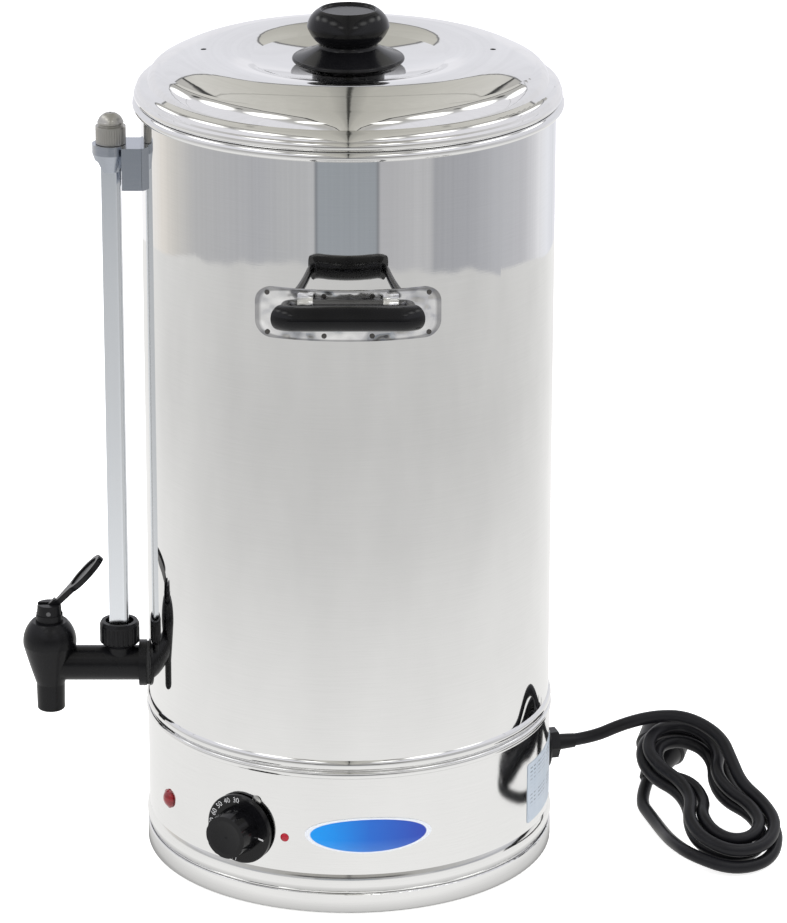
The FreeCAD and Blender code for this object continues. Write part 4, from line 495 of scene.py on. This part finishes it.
def at(degrees):
    """Azimuth as a place on a ramp: 0.5 is straight in front."""
    return 0.5 + degrees / 360.0


def polar(g):
    """Azimuth as 0 to 1 round the urn, as at() has it, and the separated coordinates."""
    angle, axes = g.azimuth()
    return g.span(angle, -math.pi, math.pi, 0.0, 1.0), axes


# The paper floor: white to the camera. Where steel mirrors it, it glows instead as painted reflection, dimmer
# with distance, lighter or darker round the sides, with a painted contact shadow at the urn's foot.
paper = Graph("floor_paper")
around, axes = polar(paper)
reach = paper.math("DIVIDE", paper.far(axes["X"], axes["Y"]), 2.0)
# Painted contact shadow: the glow drops to a dark ring right round the urn's foot, then fades with distance.
floor_glow_and_contact_shadow = greys(paper, reach, [(0.0705, 0.16), (0.0735, 0.62), (0.082, 0.93), (0.14, 0.92), (0.205, 0.905),
                             (0.31, 0.815), (0.425, 0.695), (0.56, 0.635), (0.75, 0.64)])
# Painted light: the mirrored floor is made lighter or darker round the sides.
sides = greys(paper, around, [
    (at(-154), 0.38), (at(-138), 0.34), (at(-121), 0.23), (at(-95), 0.155), (at(-65), 0.03), (at(-37), 0.01),
    (at(-27), 0.0), (at(-14), -0.04), (at(14), -0.04), (at(25), 0.0), (at(44), 0.02), (at(60), 0.03),
    (at(91), 0.11), (at(126), 0.24), (at(150), 0.42)])
share = greys(paper, reach, [(0.12, 0.0), (0.205, 0.15), (0.31, 0.4), (0.425, 1.0)])
mirrored = paper.math("MULTIPLY", floor_glow_and_contact_shadow, paper.math("ADD", paper.math("MULTIPLY", sides, share), 1.0))
clouds = paper.noise(paper.scaled(1.0, 1.0, 1.0), 2.2, 3.0)
mirrored = paper.math("MULTIPLY", mirrored, paper.span(clouds, 0.3, 0.7, 0.97, 1.03))
paper.set(Base_Color=paper.ramp(clouds, [(0.3, (0.90, 0.90, 0.905)), (0.7, (0.92, 0.92, 0.92))]),
          Roughness=0.9, Specular_IOR_Level=0.1)
rays = paper.add("ShaderNodeLightPath")
lift = paper.add("ShaderNodeEmission", Color=(1.0, 0.995, 0.985, 1.0), Strength=0.80)
shine = paper.add("ShaderNodeEmission", Color=(1.0, 0.995, 0.985, 1.0))
paper.link(mirrored, shine.inputs["Strength"])
lifted = paper.add("ShaderNodeAddShader")
paper.link(paper.shader.outputs[0], lifted.inputs[0])
paper.link(lift.outputs[0], lifted.inputs[1])
surface = paper.shader
for ray, shown in (("Is Camera Ray", lifted), ("Is Glossy Ray", shine)):
    pick = paper.add("ShaderNodeMixShader")
    paper.link(rays.outputs[ray], pick.inputs[0])
    paper.link(surface.outputs[0], pick.inputs[1])
    paper.link(shown.outputs[0], pick.inputs[2])
    surface = pick
paper.link(surface.outputs[0], paper.out.inputs["Surface"])


def wall_radius(degrees):
    """The tent's wall comes nearer towards the back."""
    a = math.radians(degrees)
    return 1.585 + 0.080 * math.cos(a) - 0.018 * math.sin(a) + 0.006 * math.sin(7 * a)


def edge_radius(degrees):
    """The paper ends at the wall, and its front edge isn't cut quite round."""
    a = math.radians(degrees)
    return wall_radius(degrees) - 0.012 + 0.006 * math.sin(11 * a + 0.6) + 0.004 * math.sin(23 * a)


SIDE, BACK = 2.8, 7.0
arc = [wall_point(a, edge_radius(a), 0.0) for a in range(90, -91, -3)]
floor = mesh_object("floor", [(-SIDE, 0, 0), (-SIDE, BACK, 0), (SIDE, BACK, 0), (SIDE, 0, 0)] + arc,
                    [tuple(range(4 + len(arc)))], paper.material)

# The tent: one look for wall and roof, a glowing surface that only reflections see, so all of it is painted
# reflection.
# Low down it is drawn by azimuth, as the tank mirrors it; higher up it is drawn as a ceiling seen from the
# lid, with a warm panel, its seams and lamps.
room = Graph("room")
room.tree.nodes.remove(room.shader)
glow = room.add("ShaderNodeEmission")
room.link(glow.outputs[0], room.out.inputs["Surface"])
around, axes = polar(room)
folds = room.noise(room.scaled(5.0, 5.0, 0.15), 3.0, 4.0, 0.65)
blue = (0.365, 0.39, 0.42)
dark = (0.24, 0.25, 0.27)
low_wall = room.ramp(around, [
    (0.0, (1.0, 1.0, 1.04)), (at(-152), (1.08, 1.07, 1.08)), (at(-140), (1.00, 0.98, 0.97)),
    (at(-121), (0.88, 0.84, 0.79)), (at(-108), (0.71, 0.69, 0.66)), (at(-90), (0.55, 0.55, 0.56)),
    (at(-48), (0.49, 0.495, 0.52)), (at(-34), (0.525, 0.53, 0.545)),
    (at(-17.4), (0.54, 0.545, 0.56)), (at(-17.0), dark), (at(-16.3), blue), (at(14.8), blue),
    (at(15.4), dark), (at(15.9), (0.51, 0.51, 0.53)), (at(36), (0.575, 0.575, 0.59)),
    (at(44.5), (0.565, 0.565, 0.58)), (at(46), (0.43, 0.435, 0.46)), (at(66), (0.45, 0.455, 0.485)),
    (at(91), (0.565, 0.57, 0.60)), (at(109), (0.61, 0.61, 0.64)), (at(120), (0.75, 0.75, 0.78)),
    (at(127), (0.88, 0.88, 0.91)), (at(140), (0.92, 0.93, 0.98)), (at(152), (0.82, 0.83, 0.88)),
    (1.0, (1.0, 1.0, 1.04))])
rise = room.math("MAXIMUM", room.math("SUBTRACT", axes["Z"], LID_HEIGHT), 0.05)
scale = room.math("DIVIDE", ROOF - LID_HEIGHT, rise)
aside = room.math("ABSOLUTE", room.math("MULTIPLY", axes["X"], scale))
v = room.math("MULTIPLY", axes["Y"], scale)
panel_edge = room.math("ADD", room.math("MULTIPLY", room.math("MAXIMUM", v, -0.6), 0.26), 0.60)
past = room.math("SUBTRACT", aside, panel_edge)
warm = room.ramp(room.math("DIVIDE", aside, 1.2), [
    (0.0, (0.06, 0.06, 0.055)), (0.005, (0.06, 0.06, 0.055)), (0.011, (0.36, 0.355, 0.33)),
    (0.07, (0.52, 0.51, 0.47)), (0.35, (0.63, 0.62, 0.58)), (0.75, (0.72, 0.71, 0.68)),
    (1.0, (0.66, 0.65, 0.62))])
beside = room.ramp(past, [(0.0, (0.06, 0.06, 0.06)), (0.02, (0.10, 0.10, 0.10)), (0.05, (0.55, 0.54, 0.52)),
                          (0.35, (0.50, 0.495, 0.48)), (0.75, (0.62, 0.62, 0.63)), (1.0, (0.86, 0.86, 0.91))])
inside_panel = room.span(past, -0.03, -0.01, 1.0, 0.0)
ceiling = room.mix(inside_panel, beside, warm)


def near(value, centre, half, soft):
    """1 within a half width of the centre, falling to 0 over the soft width."""
    away = room.math("ABSOLUTE", room.math("SUBTRACT", value, centre))
    return room.span(away, half, half + soft, 1.0, 0.0)


ceiling = room.mix(room.math("MULTIPLY", near(v, 1.0, 0.012, 0.02), 0.45), ceiling, (0.2, 0.2, 0.19))
for cx, cy, size in ((0.66, -1.5, 0.26), (0.98, -0.55, 0.30), (1.35, 0.35, 0.32), (1.95, 1.5, 0.44)):
    du = room.math("DIVIDE", room.math("SUBTRACT", aside, cx), size)
    dv = room.math("DIVIDE", room.math("SUBTRACT", v, cy), size * 1.3)
    ceiling = room.mix(room.span(room.far(du, dv), 0.55, 1.15, 1.0, 0.0), ceiling, (2.8, 2.8, 2.75))
for cx, cy, size in ((1.22, 1.05, 0.13), (0.95, 0.15, 0.06)):
    du = room.math("SUBTRACT", aside, cx)
    dv = room.math("SUBTRACT", v, cy)
    dim_spot = room.span(room.far(du, dv), size * 0.6, size * 1.2, 1.0, 0.0)
    ceiling = room.mix(dim_spot, ceiling, (0.08, 0.08, 0.08))
back_edge = room.math("SUBTRACT", v, room.math("ADD", room.math("MULTIPLY", aside, -0.12), 2.45))
ceiling = room.mix(near(back_edge, 0.0, 0.02, 0.05), ceiling, (0.22, 0.22, 0.23))
ceiling = room.mix(room.span(back_edge, 0.02, 0.08, 0.0, 1.0), ceiling, (0.84, 0.845, 0.90))
front_low = room.ramp(around, [
    (0.0, (0.90, 0.90, 0.95)), (at(-100), (0.80, 0.80, 0.84)), (at(-60), (0.55, 0.545, 0.54)),
    (at(-22), (0.42, 0.41, 0.385)), (at(-0.8), (0.38, 0.37, 0.35)), (at(-0.5), (0.10, 0.10, 0.10)),
    (at(0.5), (0.10, 0.10, 0.10)), (at(0.8), (0.38, 0.37, 0.35)), (at(22), (0.42, 0.41, 0.385)),
    (at(60), (0.55, 0.545, 0.54)), (at(100), (0.80, 0.80, 0.84)), (1.0, (0.90, 0.90, 0.95))])
upper = room.mix(room.span(axes["Z"], 0.74, 0.84, 0.0, 1.0), front_low, ceiling)
# Painted reflection: a dark band low in front, set to put dark lines into the bead and ridge highlights.
ahead_only = near(room.math("MULTIPLY", around, 360.0), 180.0, 24.0, 10.0)
painted_dark_band = room.math("MULTIPLY", near(axes["Z"], 0.36, 0.07, 0.03), ahead_only)
upper = room.mix(painted_dark_band, upper, (0.10, 0.10, 0.105))
whole = room.mix(room.span(axes["Z"], 0.16, 0.22, 0.0, 1.0), low_wall, upper)
whole = room.mix(room.span(folds, 0.3, 0.7, 1.0, 0.0), whole, (0.93, 0.93, 0.93), "MULTIPLY")
room.link(whole, glow.inputs["Color"])
SEGMENTS = 72
ring, faces = [], []
for k in range(SEGMENTS):
    foot = wall_point(360.0 * k / SEGMENTS, wall_radius(360.0 * k / SEGMENTS), -0.02)
    ring += [foot, (foot.x, foot.y, ROOF)]
    n = 2 * ((k + 1) % SEGMENTS)
    faces.append((2 * k, n, n + 1, 2 * k + 1))
faces.append(tuple(range(1, 2 * SEGMENTS, 2)))
tent = mesh_object("tent", ring, faces, room.material)
tent.visible_camera = False
tent.visible_diffuse = False
tent.visible_shadow = False
tent.visible_volume_scatter = False

world = bpy.data.worlds.new("backdrop")
world.use_nodes = True
scene.world = world
tree = world.node_tree
tree.nodes.clear()
out = tree.nodes.new("ShaderNodeOutputWorld")
paths = tree.nodes.new("ShaderNodeLightPath")
seen = tree.nodes.new("ShaderNodeMath")
seen.operation = "MAXIMUM"
tree.links.new(paths.outputs["Is Camera Ray"], seen.inputs[0])
tree.links.new(paths.outputs["Is Transmission Ray"], seen.inputs[1])
white = tree.nodes.new("ShaderNodeBackground")
white.inputs["Color"].default_value = (1.0, 1.0, 1.0, 1)
dim = tree.nodes.new("ShaderNodeBackground")
dim.inputs["Color"].default_value = (0.94, 0.95, 1.0, 1)
dim.inputs["Strength"].default_value = 0.62
both = tree.nodes.new("ShaderNodeMixShader")
tree.links.new(seen.outputs[0], both.inputs[0])
tree.links.new(dim.outputs[0], both.inputs[1])
tree.links.new(white.outputs[0], both.inputs[2])
tree.links.new(both.outputs[0], out.inputs[0])


def area_light(name, place, aim, size, power):
    data = bpy.data.lights.new(name, "AREA")
    data.shape = "RECTANGLE"
    data.size, data.size_y = size
    data.energy = power
    lamp = bpy.data.objects.new(name, data)
    scene.collection.objects.link(lamp)
    lamp.location = place
    lamp.rotation_euler = (Vector(aim) - Vector(place)).to_track_quat("-Z", "Y").to_euler()
    lamp.visible_glossy = False


area_light("key_left", (-1.3, -1.3, 1.9), (0, 0, 0.2), (1.2, 1.2), 14)
area_light("key_right", (1.4, -1.1, 1.9), (0, 0, 0.2), (1.2, 1.2), 14)
area_light("top_soft", (0, 0.4, 2.4), (0, 0.3, 0), (2.4, 2.4), 22)

scene.view_settings.view_transform = "Standard"
